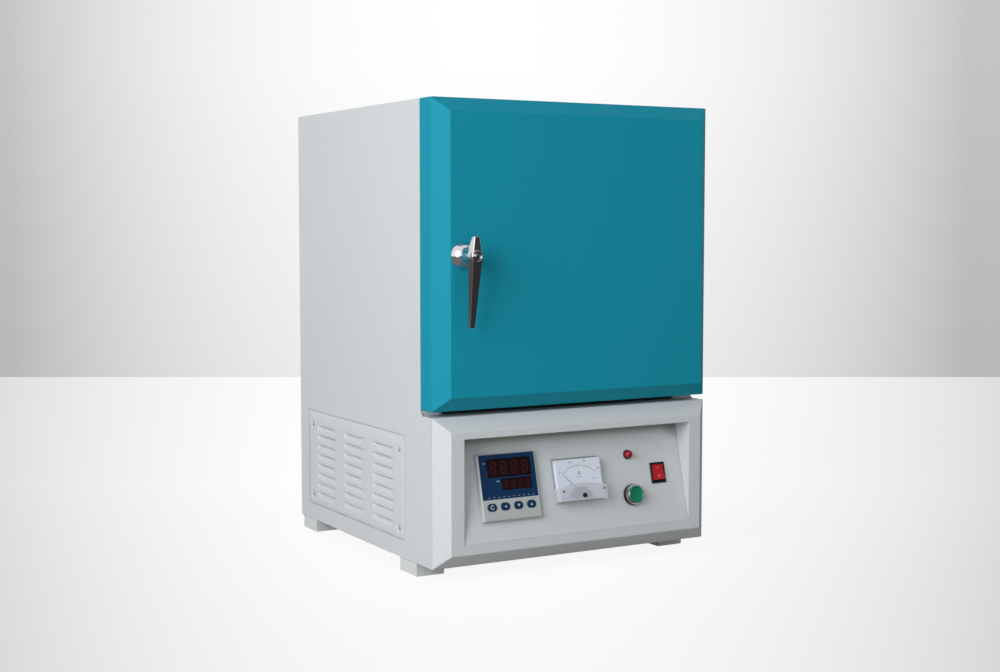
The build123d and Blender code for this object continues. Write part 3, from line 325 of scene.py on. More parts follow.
# Vent panels: pressed steel covers let into both sides, in the casing's paint. Each has three
# columns of eight louvres pushed inwards, open along the top, and a screw in a dish at each corner.
half_width = 234
panel_y, panel_z, rim = (88, 445), (46.5, 199), 0.5
sheet_gauge = 0.0011
louvre_middles = np.array((160.5, 266.5, 372.5))
first_slit, slit_pitch, slits = 177.5, 15.6, 8
louvre_slits = first_slit - slit_pitch * np.arange(slits)
louvre_half, louvre_end, louvre_drop, louvre_depth = 35, 10, 10.5, 5
screw_y, screw_z = (106.0, 427.0), (61.5, 176.5)
vent_screws = np.array([(y, z) for y in screw_y for z in screw_z])
dish_radius, dish_slope, dish_depth = 6.6, 2.8, 1.5


def vent_depth(y, z):
    """Depth below the face, in mm.

    A louvre is its depth x (1 - cos of a quarter turn up to its slit) x a quarter circle at each
    end. A dish is a cone with a flat floor. The panel's rim is turned in by a third of a mm.
    """
    aside = np.abs(y[..., None] - louvre_middles)
    across = np.clip((louvre_half - aside) / louvre_end, 0, 1)
    ends = np.sqrt(1 - (1 - across) ** 2).max(-1)
    below = louvre_slits - z[..., None]
    up = np.where((below >= -1e-6) & (below <= louvre_drop), 1 - below / louvre_drop, 0)
    rise = (1 - np.cos(up * pi / 2)).max(-1)
    away = np.hypot(y[..., None] - vent_screws[:, 0], z[..., None] - vent_screws[:, 1]).min(-1)
    dish = dish_depth * np.clip((dish_radius - away) / dish_slope, 0, 1)
    inside = [np.minimum(v - low, high - v) for v, (low, high) in ((y, panel_y), (z, panel_z))]
    return louvre_depth * ends * rise + dish + np.where(np.minimum(*inside) < 0.2, 0.35, 0)


def edge_lines(low, high):
    """Grid lines along the rim of the panel, at both of its ends."""
    return low, low + rim, high - rim, high


ends = louvre_end * np.array((-0.06, 0, 0.04, 0.12, 0.25, 0.42, 0.65, 1.0))
drops = louvre_drop * np.array((0, 0.03, 0.12, 0.24, 0.38, 0.54, 0.7, 0.85, 1, 1.04))
round_screw = np.linspace(-7, 7, 13)
along = np.concatenate([
    edge_lines(*panel_y),
    *(y + round_screw for y in screw_y),
    *(m + side * (louvre_half - ends) for m in louvre_middles for side in (-1, 1)),
    *(m + np.linspace(-20, 20, 4) for m in louvre_middles),
])
upward = np.concatenate([
    edge_lines(*panel_z),
    *(z + round_screw for z in screw_z),
    *(slit - drops for slit in louvre_slits),
    louvre_slits + 0.03, louvre_slits + 0.5,
])
along, upward = np.unique(along.round(2)), np.unique(upward.round(2))
y, z = np.meshgrid(along, upward)
depth = vent_depth(y, z)
cells = grid_faces(*y.shape)
in_slit = np.ptp(depth.ravel()[cells], 1) > 1.2
narrow = np.ptp(z.ravel()[cells], 1) < 0.05
cells = cells[~(in_slit & narrow)]
for side, name in ((-1, "left"), (1, "right")):
    outside = in_frame(side * (half_width - depth), y, z)
    panel = shape(
        "louvred_panel_" + name, outside, cells[:, ::side], cabinet_paint, "cabinet", smooth=38
    )
    sheet = panel.modifiers.new("sheet", "SOLIDIFY")
    sheet.thickness, sheet.offset = sheet_gauge, -1
    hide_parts("vent_panel_" + name)


def screw_heads(name, feet, out, radius, material, body):
    """Round-headed screws with a cross recess, all facing one way.

    Height over the foot = dome of the radius - a cross-shaped dip; points = foot + polar grid.
    """
    out = np.asarray(out, float) / np.linalg.norm(out)
    side = np.cross(out, (0.31, 0.11, 0.94))
    side /= np.linalg.norm(side)
    up = np.cross(out, side)
    r = np.array((1.0, 1.0, 0.93, 0.8, 0.62, 0.5, 0.4, 0.3, 0.2, 0.1, 0.02))[:, None]
    turn = np.linspace(0, 2 * pi, 32, endpoint=False)
    x, w = r * np.cos(turn), r * np.sin(turn)
    top, dip = 0.42, 0.22
    dome = top * np.sqrt(1.05 - r**2) + 0 * turn
    dome[0] = -0.1
    cross = (np.minimum(np.abs(x), np.abs(w)) < 0.13) & (r < 0.55)
    high = dome - dip * cross
    one = radius * (x[..., None] * side + w[..., None] * up + high[..., None] * out)
    middle = radius * (top - 0.2) * out
    points = np.concatenate((one.reshape(-1, 3), [middle])) + np.asarray(feet)[:, None]
    rows, columns = len(r), len(turn)
    last = np.arange(columns) + (rows - 1) * columns
    tip = np.stack((last, np.roll(last, -1), np.full(columns, rows * columns)), 1)
    quads = grid_faces(rows, columns, around=True)
    step = rows * columns + 1
    faces = [f for i in range(len(feet)) for f in [*(quads + i * step), *(tip + i * step)]]
    return shape(name, points, faces, material, body, smooth=40)


plated_steel = finish(
    "plated_steel", (0.6, 0.6, 0.58), 0.34, metal=0.85, drift=0.08, patch=0.008, grain=0.0006,
)
zinc_screw = finish("zinc_screw", (0.4, 0.39, 0.375), 0.4, metal=0.6, drift=0.1, patch=0.002)
for side, name in ((-1, "left"), (1, "right")):
    feet = in_frame(side * (half_width - 1.4), vent_screws[:, 0], vent_screws[:, 1])
    heads = screw_heads("vent_screws_" + name, feet, (side, 0, 0), 0.0032, zinc_screw, "cabinet")


# Base pan and divider shelf: plain zinc-coated steel sheet, folded up at the edges. The pan closes
# the cabinet below. The shelf carries the chamber and parts it from the controls.
zinc_sheet = finish(
    "zinc_sheet", (0.43, 0.45, 0.46), 0.42, metal=0.85, drift=0.14, patch=0.018, grain=0.004,
    relief=0.00001,
)
dress(zinc_sheet, "base_pan", "divider_shelf", "inner_casing")


# Feet: blocks moulded from hard rubber in the cabinet's grey, each held by a bolt through the base
# pan from below.
foot_rubber = finish(
    "rubber_foot", (0.63, 0.65, 0.67), 0.6, drift=0.06, patch=0.02, grain=0.0006, relief=0.00004,
)
dress(foot_rubber, "foot_front_left", "foot_front_right", "foot_rear_left", "foot_rear_right")
dress(plated_steel, "foot_bolts")


# Rear cover and cable gland: a flat painted sheet with ten screws into the casing's lips, and a
# black moulded gland for the mains lead.
dress(cabinet_paint, "rear_cover")
cover_face = 478.0
down_sides = [(side * 227, z) for side in (-1, 1) for z in (60, 245, 440, 650)]
rear_x, rear_z = np.array([*down_sides, (-110, 671), (110, 671)]).T
feet = in_frame(rear_x, cover_face, rear_z)
screw_heads("rear_screws", feet, (0, 1, 0), 0.0034, plated_steel, "cabinet")
black_plastic = finish(
    "black_plastic", (0.013, 0.013, 0.015), 0.45, drift=0.1, patch=0.01, grain=0.0005,
    specular=0.3,
)
dress(black_plastic, "cable_gland")


# Control parts behind the instrument panel: a power regulator on its aluminium heat sink, and a
# contactor and a terminal strip in moulded cases.
sink_aluminium = finish(
    "sink_aluminium", (0.62, 0.63, 0.64), 0.38, metal=1.0, drift=0.05, patch=0.02, grain=0.0007,
    stretch=(1.0, 0.05, 1.0),
)
dress(sink_aluminium, "power_regulator", "thermocouple_head")
moulded_grey = finish(
    "control_plastic", (0.05, 0.055, 0.06), 0.5, drift=0.08, patch=0.02, grain=0.0006,
)
dress(moulded_grey, "contactor", "terminal_strip")


# Insulation: vacuum-formed blocks of ceramic fibre round the chamber and in the door, and a
# needled blanket between the chamber's blocks and the inner casing.
fibre_block = finish(
    "fibre_block", (0.8, 0.77, 0.7), 0.9, drift=0.08, patch=0.03, grain=0.0022, relief=0.0002,
    specular=0.1,
)
dress(
    fibre_block, "chamber_floor_block", "chamber_roof_block", "chamber_left_block",
    "chamber_right_block", "chamber_rear_block", "door_insulation",
)
fibre_blanket = finish(
    "fibre_blanket", (0.82, 0.8, 0.76), 0.95, drift=0.1, patch=0.02, grain=0.003, relief=0.0006,
    specular=0.05,
)
dress(fibre_blanket, "insulation_blanket")


# Heated chamber: hearth plate, two strip elements on the side walls with porcelain bushings, and
# the thermocouple's sheath through the rear wall.
hearth_ceramic = finish(
    "hearth_ceramic", (0.66, 0.55, 0.42), 0.75, drift=0.16, patch=0.02, grain=0.0012,
    relief=0.00012, specular=0.2,
)
dress(hearth_ceramic, "hearth_plate")
element_alloy = finish(
    "element_alloy", (0.09, 0.08, 0.075), 0.6, metal=0.6, drift=0.3, patch=0.012, grain=0.0008,
    relief=0.00004,
)
dress(element_alloy, "heating_element_left", "heating_element_right")
porcelain = finish("bushing_ceramic", (0.78, 0.75, 0.69), 0.28, drift=0.04, patch=0.01, grain=0.002)
dress(porcelain, "element_terminals", "thermocouple_sheath")


# Front frame: steel flange between the casing and the chamber's mouth. Its middle, seen through the
# gap under the door, is near-black as painted shade; its two sides, beyond the door's insulation,
# have the casing's grey.
frame_enamel = finish(
    "frame_enamel", (0.014, 0.016, 0.018), 0.5, drift=0.2, patch=0.03, grain=0.0009,
    relief=0.00003, specular=0.3,
)
# Painted shade: near-black in the middle, where the door shades the frame, and the casing's grey at
# the sides.
grey_from, grey_to = 0.198, 0.206
tree = frame_enamel.node_tree
base = tree.nodes["Principled BSDF"].inputs["Base Color"]
from_middle = calculated(tree, "SUBTRACT", coordinate(tree, "X"), middle_x)
unshaded_sides = ramp(tree, calculated(tree, "ABSOLUTE", from_middle), grey_from, grey_to, 0.0, 1.0)
tree.links.new(blended(tree, unshaded_sides, base.links[0].from_socket, cabinet_grey), base)
dress(frame_enamel, "front_frame")


# Control fascia: one pressed shell with four chamfers and a recess, painted like the casing. The
# instrument panel slopes back in it. Under the recess's upper edge its paint carries painted shade:
# paint x (1 - share x (1 - shade tint)), where the share grows with height and as walls close in on
# a point.
dress(cabinet_paint, "control_fascia")
painted_shade_tint, painted_shade_from, painted_shade_to = (0.36, 0.36, 0.3), 0.174, 0.194
panel_paint = cabinet_paint.copy()
panel_paint.name = "panel_paint"
tree = panel_paint.node_tree
base = tree.nodes["Principled BSDF"].inputs["Base Color"]
# Painted shade: the panel's paint darkens where ambient occlusion is low, towards the upper edge.
open_share = node(tree, "AmbientOcclusion", samples=12, Distance=0.03).outputs["AO"]
closed_in = ramp(tree, open_share, 0.5, 0.82, 1.0, 0.0)
under_edge = ramp(tree, coordinate(tree, "Z"), painted_shade_from, painted_shade_to, 0.15, 1.0)
share = calculated(tree, "MULTIPLY", closed_in, under_edge)
painted_shade_colour = blended(tree, share, base.links[0].from_socket, painted_shade_tint, "MULTIPLY")
tree.links.new(painted_shade_colour, base)
dress(panel_paint, "instrument_panel")

panel_origin = np.array((middle_x, -0.2379, 0.0537))
panel_back, panel_rise = 38.0, 150.1
panel_tilt = np.arctan2(panel_back, panel_rise)
panel_out = (0.0, -np.cos(panel_tilt), np.sin(panel_tilt))
panel_up = (0.0, np.sin(panel_tilt), np.cos(panel_tilt))
print_sheet = 0.03


def on_panel(x, u, h):
    """Points of the sloping panel: x to the right, u up the slope and h out of it, all in mm."""
    x, u, h = np.broadcast_arrays(*(np.asarray(v, float) / 1000 for v in (x, u, h)))
    y = u * np.sin(panel_tilt) - h * np.cos(panel_tilt)
    z = u * np.cos(panel_tilt) + h * np.sin(panel_tilt)
    return np.stack((x, y, z), -1) + panel_origin


def plates(name, outlines, place, thickness, material, body, slot=None):
    """Thin closed plates, such as print: each outline (x, u) at height 0 and at its thickness."""
    points, faces, start = [], [], 0
    for outline in outlines:
        x, u = np.asarray(outline, float).T
        count = len(x)
        points += [place(x, u, 0.0), place(x, u, thickness)]
        low, high = start + np.arange(count), start + count + np.arange(count)
        faces += [low[::-1], high]
        faces += list(np.stack((low, np.roll(low, -1), np.roll(high, -1), high), 1))
        start += 2 * count
    return shape(name, np.concatenate(points), faces, material, body)


def rounded_box(x0, x1, u0, u1, radius):
    """Outline of a rectangle whose corners are quarter circles of a radius."""
    turn = np.linspace(0, pi / 2, 5) + (np.arange(4) * pi / 2)[:, None]
    corner_x = np.array((x1 - radius, x0 + radius, x0 + radius, x1 - radius))[:, None]
    corner_u = np.array((u1 - radius, u1 - radius, u0 + radius, u0 + radius))[:, None]
    x, u = corner_x + radius * np.cos(turn), corner_u + radius * np.sin(turn)
    return np.stack((x.ravel(), u.ravel()), 1)


def at_height(height):
    """The sloping panel's points, for plates that lie on a part of a given height."""
    return lambda x, u, h: on_panel(x, u, height + h)


# Temperature controller: a light grey moulded bezel with a dark blue window over two rows of unlit
# red digits, a row of small indicator marks, and four oval keys with white symbols.
light_plastic = finish(
    "grey_plastic", (0.44, 0.47, 0.48), 0.4, drift=0.02, patch=0.03, grain=0.0006,
    relief=0.00001, specular=0.35, edge=0.0005,
)
dress(light_plastic, "controller_case")
navy_window = finish(
    "dark_window", (0.006, 0.034, 0.098), 0.25, drift=0.05, patch=0.03, grain=0.0009,
    relief=0.000002, spread=0.03, specular=0.3,
)
dress(navy_window, "controller_window")
navy_key = finish(
    "navy_plastic", (0.008, 0.033, 0.09), 0.35, drift=0.06, patch=0.006, grain=0.0005,
    relief=0.00001, specular=0.3,
)
dress(navy_key, "controller_key_1", "controller_key_2", "controller_key_3", "controller_key_4")
display_black = finish(
    "display_black", (0.009, 0.004, 0.006), 0.3, drift=0.1, patch=0.01, specular=0.3
)
window_height = 8.0
plates(
    "display_fields",
    [rounded_box(-147.6, -75.9, 90.9, 117.6, 1.0), rounded_box(-126.3, -77.0, 72.0, 88.6, 0.8)],
    at_height(window_height), print_sheet, display_black, "cabinet", slot="dark_window",
)


def digit_bars(x, u, width, height, bar):
    """The seven bars of an eight: three level and four upright hexagons that lean a little."""
    b, gap = bar / 2, bar * 0.1
    level, upright = width / 2 - b - gap, height / 4 - b / 2 - gap
    side = np.array(((-1, 0), (-1, 1), (1, 1), (1, 0), (1, -1), (-1, -1)), float)
    inset = np.array((0, b, -b, 0, -b, b))
    lying = np.stack((side[:, 0] * level + inset, side[:, 1] * b), 1)
    standing = np.stack((side[:, 1] * b, side[:, 0] * upright + inset), 1)[::-1]
    middles = np.array([(width / 2, b), (width / 2, height / 2), (width / 2, height - b)])
    quarter = (b + height / 2) / 2
    posts = np.array([(v, w) for v in (b, width - b) for w in (quarter, height - quarter)])
    bars = np.concatenate((middles[:, None] + lying, posts[:, None] + standing))
    bars[..., 0] += 0.09 * bars[..., 1]
    return list(bars + (x, u))


digit_red = finish("digit_red", (0.05, 0.007, 0.008), 0.4, drift=0.15, patch=0.004, specular=0.3)
digits, upper_pitch, lower_pitch = np.arange(4), 17.4, 11.9
upper_row, lower_row = -144.6 + upper_pitch * digits, -123.9 + lower_pitch * digits
bars = [bar for x in upper_row for bar in digit_bars(x, 94.2, 11.0, 20.0, 3.0)]
bars += [bar for x in lower_row for bar in digit_bars(x, 74.2, 7.6, 12.2, 2.1)]
points = [rounded_box(x, x + 1.8, 93.6, 95.4, 0.4) for x in upper_row + 13.2]
plates(
    "digits", bars + points, at_height(window_height + print_sheet), print_sheet, digit_red,
    "cabinet", slot="dark_window",
)
print_white = finish("print_white", (0.62, 0.66, 0.7), 0.5, drift=0.05, patch=0.004)
print_pale = finish("print_pale", (0.2, 0.25, 0.32), 0.5, drift=0.2, patch=0.002)
marks = [rounded_box(x, x + 3.2, 62.2, 63.2, 0.3) for x in -151.0 + 8.1 * np.arange(10)]
marks.append(rounded_box(-153.8, -150.4, 110.8, 112.8, 0.5))
marks.append(rounded_box(-134.6, -129.6, 84.4, 86.4, 0.5))
plates(
    "window_marks", marks, at_height(window_height), print_sheet, print_pale, "cabinet",
    slot="dial_white",
)


def ring_strip(x, u, radius, width, start, end, steps=24):
    """Outline of a curved strip of a width, about a middle, between two angles."""
    turn = np.linspace(radians(start), radians(end), steps)
    round_trip = np.concatenate((turn, turn[::-1]))
    r = radius + np.repeat((width / 2, -width / 2), steps)
    return np.stack((x + r * np.cos(round_trip), u + r * np.sin(round_trip)), 1)


def arrow(turn):
    """Triangle that points up, turned about its middle."""
    turned_back = np.array(((cos(turn), sin(turn)), (-sin(turn), cos(turn))))
    return np.array(((-1.9, -1.6), (1.9, -1.6), (0, 2.0))) @ turned_back


first_key, key_pitch, key_top = (-146.45, 48.9), 21.5, 9.0
loop_head = np.array(((0, -1.5), (0, 1.5), (-2.4, 0))) + (1.4, 2.5)
loop = [ring_strip(0, 0, 2.6, 0.9, 65, 340), loop_head]
for i, symbol in enumerate((loop, [arrow(pi / 2)], [arrow(pi)], [arrow(0)])):
    outlines = [outline + first_key + (key_pitch * i, 0) for outline in symbol]
    plates(
        f"key_symbol_{i + 1}", outlines, at_height(key_top), 0.04, print_white, f"key_{i + 1}",
        slot="dial_white",
    )


# Current meter: a light grey moulded body that stands out from the panel, with a printed dial and
# a thin pointer, under a clear cover whose frosted lower part holds the zero screw and two screws.
dress(light_plastic, "ammeter_case")
dial_card = finish(
    "dial_white", (0.7, 0.755, 0.85), 0.6, drift=0.015, patch=0.02, grain=0.0006, specular=0.2
)
dial_foot, dial_depth = 4.0, 7.4
dial_height = dial_foot + dial_depth
dial = plates(
    "dial_body", [rounded_box(-36.0, 40.0, 47.2, 107.2, 1.0)], at_height(dial_foot), dial_depth,
    dial_card, "cabinet",
)
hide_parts("ammeter_dial")
pivot = np.array((2.0, 56.8))
scale_radius, scale_start, scale_end, divisions = 40.5, 134, 46, 20
needle_lacquer = finish("needle_black", (0.035, 0.035, 0.04), 0.4, drift=0.1, patch=0.005)
towards = np.array((cos(radians(scale_start)), sin(radians(scale_start))))
beside = np.array((-towards[1], towards[0]))
pointer = pivot + np.array([
    along_it * towards + across_it * beside
    for along_it, across_it in ((-8, -0.9), (-8, 0.9), (12, 0.4), (38, 0.2), (38, -0.2), (12, -0.4))
])
needle = plates(
    "pointer", [pointer[::-1], rounded_box(0.2, 3.8, 55.0, 58.6, 1.75)],
    at_height(dial_height + 0.45), 0.3, needle_lacquer, "needle",
)
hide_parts("ammeter_needle")
dress(black_plastic, "ammeter_zero_screw")
print_grey = finish("print_grey", (0.16, 0.18, 0.23), 0.6, drift=0.06, patch=0.004, specular=0.2)
scale = [ring_strip(*pivot, scale_radius, 0.5, scale_end, scale_start, 48)]
for i in range(divisions + 1):
    angle = radians(scale_start - (scale_start - scale_end) * i / divisions)
    length, half_line = (2.6, 0.2) if i % 5 == 0 else (1.3, 0.13)
    outward = np.array((cos(angle), sin(angle)))
    aside = np.array((-sin(angle), cos(angle))) * half_line
    near, far = outward * scale_radius + pivot, outward * (scale_radius + length) + pivot
    scale.append(np.array((near - aside, far - aside, far + aside, near + aside)))
scale += [rounded_box(-2.2, 6.2, 80.0, 80.6, 0.2), rounded_box(22.0, 31.0, 76.4, 76.9, 0.2)]
plates(
    "dial_scale", scale, at_height(dial_height), print_sheet, print_grey, "cabinet",
    slot="needle_black",
)


def printed(name, text, size, x, u, height, material, body, slot):
    """Figures printed flat on the panel's parts, centred on a point."""
    half = print_sheet / 2
    curve = bpy.data.curves.new(name, "FONT")
    curve.body, curve.size, curve.extrude = text, size, half
    curve.align_x, curve.align_y = "CENTER", "CENTER"
    flat = bpy.data.objects.new(name, curve)
    bpy.context.scene.collection.objects.link(flat)
    bpy.context.view_layer.update()
    mesh = bpy.data.meshes.new_from_object(flat)
    bpy.data.objects.remove(flat)
    local = np.empty(len(mesh.vertices) * 3)
    mesh.vertices.foreach_get("co", local)
    local = local.reshape(-1, 3)
    placed = on_panel(x + local[:, 0], u + local[:, 1], height + half + local[:, 2])
    mesh.vertices.foreach_set("co", placed.ravel())
    mesh.materials.clear()
    mesh.materials.append(material)
    piece = bpy.data.objects.new(name, mesh)
    bpy.context.scene.collection.objects.link(piece)
    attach(piece, body)


on_dial = (dial_height, print_grey, "cabinet", "needle_black")
figures = (("0", -31.2, 89.2), ("10", -11.9, 102.4), ("20", 13.0, 103.2), ("30", 35.4, 90.6))
for text, x, u in figures:
    printed("dial_figure_" + text, text, 5.0, x, u, *on_dial)
printed("dial_unit", "A", 9.0, 2.2, 86.0, *on_dial)


def softened(profile, radius, steps=5):
    """Profile whose corners are short curves: (1-t)^2 before + 2t(1-t) corner + t^2 after."""
    p = np.asarray(profile, float)
    to_last, to_next = p[:-2] - p[1:-1], p[2:] - p[1:-1]
    far_last, far_next = np.linalg.norm(to_last, axis=1), np.linalg.norm(to_next, axis=1)
    before = p[1:-1] + to_last * (np.minimum(radius, far_last * 0.45) / far_last)[:, None]
    after = p[1:-1] + to_next * (np.minimum(radius, far_next * 0.45) / far_next)[:, None]
    t = np.linspace(0, 1, steps)[:, None]
    curve = (
        (1 - t) ** 2 * before[:, None] + 2 * t * (1 - t) * p[1:-1][:, None] + t**2 * after[:, None]
    )
    return np.concatenate((p[:1], curve.reshape(-1, 2), p[-1:]))


def turned(name, profile, foot, out, material, body, steps=48, smooth=32):
    """Form turned about an axis: point = foot + h out + r (side cos a + up sin a), in mm."""
    out = np.asarray(out, float) / np.linalg.norm(out)
    side = np.cross((0.0, 0.0, 1.0), out)
    side /= np.linalg.norm(side)
    up = np.cross(out, side)
    r, h = np.asarray(profile, float).T / 1000
    angle = np.linspace(0, 2 * pi, steps, endpoint=False)[:, None]
    circle = side * np.cos(angle) + up * np.sin(angle)
    rings = foot + h[1:-1, None, None] * out + r[1:-1, None, None] * circle
    points = np.concatenate(([foot + h[0] * out], rings.reshape(-1, 3), [foot + h[-1] * out]))
    first = 1 + np.arange(steps)
    last = 1 + (len(h) - 3) * steps + np.arange(steps)
    low = np.stack((np.zeros(steps, int), np.roll(first, -1), first), 1)
    high = np.stack((np.full(steps, len(points) - 1), last, np.roll(last, -1)), 1)
    faces = [*low, *(grid_faces(len(h) - 2, steps, around=True) + 1), *high]
    return shape(name, points, faces, material, body, smooth=smooth)


movement_grey = finish("movement_grey", (0.22, 0.24, 0.28), 0.5, drift=0.06, patch=0.01)
half_disc = ring_strip(pivot[0], 47.6, 10.0, 20.0, 4, 176, 40) * (1, 0.95) + (0, 2.4)
plates(
    "meter_movement", [np.concatenate((half_disc[:40], half_disc[:1] * (0, 1) + (pivot[0], 0)))],
    at_height(dial_height), 0.3, movement_grey, "cabinet", slot="needle_black",
)
clear_cover = finish(
    "clear_plastic", (0.84, 0.86, 0.9), 0.14, drift=0.01, spread=0.04, relief=0.000002,
    specular=0.4,
)
tree = clear_cover.node_tree
shader = tree.nodes["Principled BSDF"]
slope = node(tree, "VectorMath", operation="DOT_PRODUCT")
slope.inputs[1].default_value = panel_up
tree.links.new(node(tree, "TexCoord").outputs["Object"], slope.inputs[0])
arch_top, arch_curve, half_blur = 0.0712, 3.4, 0.0004
aside = calculated(tree, "SUBTRACT", coordinate(tree, "X"), middle_x + float(pivot[0]) / 1000)
square = calculated(tree, "MULTIPLY", aside, aside)
arch = calculated(tree, "MULTIPLY_ADD", square, arch_curve, slope.outputs["Value"])
frost_edge = float(panel_origin @ panel_up) + arch_top
clear, frosted = 0.035, 0.36
frost = ramp(tree, arch, frost_edge - half_blur, frost_edge + half_blur, frosted, clear)
tree.links.new(frost, shader.inputs["Alpha"])
tint = blended(tree, frost, (0.8, 0.85, 0.92), (0.61, 0.57, 0.64))
tree.links.new(tint, shader.inputs["Base Color"])
dress(clear_cover, "ammeter_cover")
dark_screw = finish("dark_screw", (0.11, 0.11, 0.115), 0.35, metal=0.8, drift=0.1, patch=0.002)
heads = screw_heads(
    "meter_screws", on_panel(np.array((-32.0, 37.0)), 60.7, 20.0), panel_out, 0.0016,
    dark_screw, "cabinet",
)


# Pilot lamp: a domed lens moulded in clear red plastic, in a dark ring that clamps it to the panel.
# Its body stands behind the panel.
lamp_foot = on_panel(97.7, 107.3, 0.0)
lamp_ring = turned(
    "lamp_ring",
    softened(
        [
            (0, -24), (5, -24), (5, 0), (7.2, 0), (7.2, 1.6), (6.6, 2.4), (5.9, 2.4), (5.9, 1.0),
            (0, 1.0),
        ],
        0.25,
    ),
    lamp_foot, panel_out, black_plastic, "cabinet",
)
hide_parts("pilot_lamp")
lamp_red = finish(
    "lamp_lens", (0.3, 0.008, 0.018), 0.16, drift=0.15, patch=0.003, grain=0.0012,
    relief=0.00006, specular=0.5,
)
rise = np.linspace(0, pi / 2, 9)[:-1]
lens_radius, dome_foot = 5.7, 4.8
dome = np.stack((lens_radius * np.cos(rise), dome_foot + lens_radius * np.sin(rise)), 1)
lens = [(0, 1.0), (lens_radius, 1.0), *dome, (0, dome_foot + lens_radius)]
turned("lamp_lens_dome", lens, lamp_foot, panel_out, lamp_red, "cabinet")


# Push button: a green cap with a dished face that slides in a collar with a chromed bevel, on a
# black ring. The collar's body stands behind the panel.
chrome = finish(
    "chromed_metal", (0.72, 0.71, 0.73), 0.13, metal=1.0, drift=0.03, patch=0.01, grain=0.003,
    relief=0.000002, spread=0.03,
)
button_foot = on_panel(97.8, 46.6, 0.0)
collar = turned(
    "button_collar",
    softened(
        [
            (0, -40), (11, -40), (11, 0), (15.2, 0), (15.2, 6.9), (12.9, 11.3), (12.6, 11.2),
            (12.6, 1.2), (0, 1.2),
        ],
        0.3,
    ),
    button_foot, panel_out, chrome, "cabinet", steps=64,
)
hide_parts("push_button_collar")
ring = [(0, 0.02), (16.0, 0.02), (16.0, 1.8), (15.7, 6.2), (15.3, 6.4), (15.3, 0.6), (0, 0.6)]
turned("button_ring", softened(ring, 0.3), button_foot, panel_out, black_plastic, "cabinet")
button_green = finish(
    "button_green", (0.008, 0.2, 0.1), 0.3, drift=0.06, patch=0.006, grain=0.0008,
    relief=0.000006, specular=0.22,
)
cap = turned(
    "button_cap",
    softened(
        [
            (0, 4.5), (12.4, 4.5), (12.4, 11.8), (11.7, 12.6), (10.9, 12.5), (9.8, 11.0),
            (0, 10.6),
        ],
        0.6,
    ),
    button_foot, panel_out, button_green, "button", steps=64, smooth=50,
)
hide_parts("push_button_cap")


# Rocker switch: a red key tipped out at its lower end, in a black frame, with a white line on its
# upper half and a white ring on its lower one.
dress(black_plastic, "rocker_frame")
rocker_red = finish(
    "rocker_red", (0.47, 0.014, 0.018), 0.28, drift=0.05, patch=0.006, grain=0.0007,
    relief=0.000005, specular=0.35,
)
dress(rocker_red, "rocker_key")
rocker_x, axle_u, axle_h = 148.3, 76.0, -1
bend_radius, lean = 3, radians(20)
bend_u = axle_u + bend_radius * sin(lean / 2)
bend_h = axle_h + bend_radius * cos(lean / 2)


def on_lower_half(x, u, h):
    """Points of the key's lower face, which leans out from the bend; u counts down from it."""
    down, rise = cos(lean), sin(lean)
    return on_panel(rocker_x + x, bend_u - u * down + h * rise, bend_h + u * rise + h * down)


worn_print = finish("worn_print", (0.62, 0.24, 0.28), 0.5, drift=0.2, patch=0.001)
rocker_print = (0.04, worn_print, "rocker", "dial_white")
line = rounded_box(147.5, 148.2, 81.6, 85.0, 0.3)
plates("rocker_on_mark", [line], at_height(bend_h), *rocker_print)
halves = [ring_strip(0, 5.8, 1.4, 0.9, start, start + 178) for start in (0, 180)]
plates("rocker_off_mark", halves, lambda x, u, h: on_lower_half(-x, u, h), *rocker_print)


# Door: a pressed steel skin with four bevels, in teal enamel. Behind it lies a liner of brushed
# stainless sheet, open round the insulating plug that closes the chamber.
brushed_steel = finish(
    "liner_steel", (0.6, 0.6, 0.59), 0.42, metal=0.75, drift=0.05, patch=0.03, grain=0.0006,
    relief=0.000006, spread=0.1, stretch=(0.03, 1.0, 1.0),
)
dress(brushed_steel, "door_liner")
door_enamel = finish(
    "door_paint", (0.008, 0.268, 0.378), 0.5, drift=0.05, patch=0.003, grain=0.0009,
    relief=0.00003, specular=0.08, edge=0.0012,
)
dress(door_enamel, "door_skin")


# Latch handle: a turned rose and a cast lever, both chromed. The lever's sides have the draft of
# its mould. Its hub holds a lock with a round plug; spindle, cam and keeper are behind the door.
door_out = (0, -1, 0)
door_plane = in_frame(-195.0, -21.0, 460.0)
rose = turned(
    "rose",
    softened(
        [
            (0, 0), (19.0, 0), (19.0, 1.2), (14.4, 8.6), (12.2, 9.8), (10.6, 11.8), (9.8, 15.0),
            (9.4, 30.2), (8.8, 30.8), (0, 30.8),
        ],
        1.6,
    ),
    door_plane, door_out, chrome, "door", steps=96, smooth=45,
)
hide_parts("handle_rose")
rubbed_chrome = finish(
    "chromed_metal", (0.7, 0.69, 0.69), 0.14, metal=1.0, drift=0.06, patch=0.01, grain=0.003,
    relief=0.000004, spread=0.05, edge=0.0016,
)
lever_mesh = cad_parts["handle_lever"].data.copy()
merged = bmesh.new()
merged.from_mesh(lever_mesh)
bmesh.ops.remove_doubles(merged, verts=merged.verts, dist=2e-6)
merged.to_mesh(lever_mesh)
merged.free()


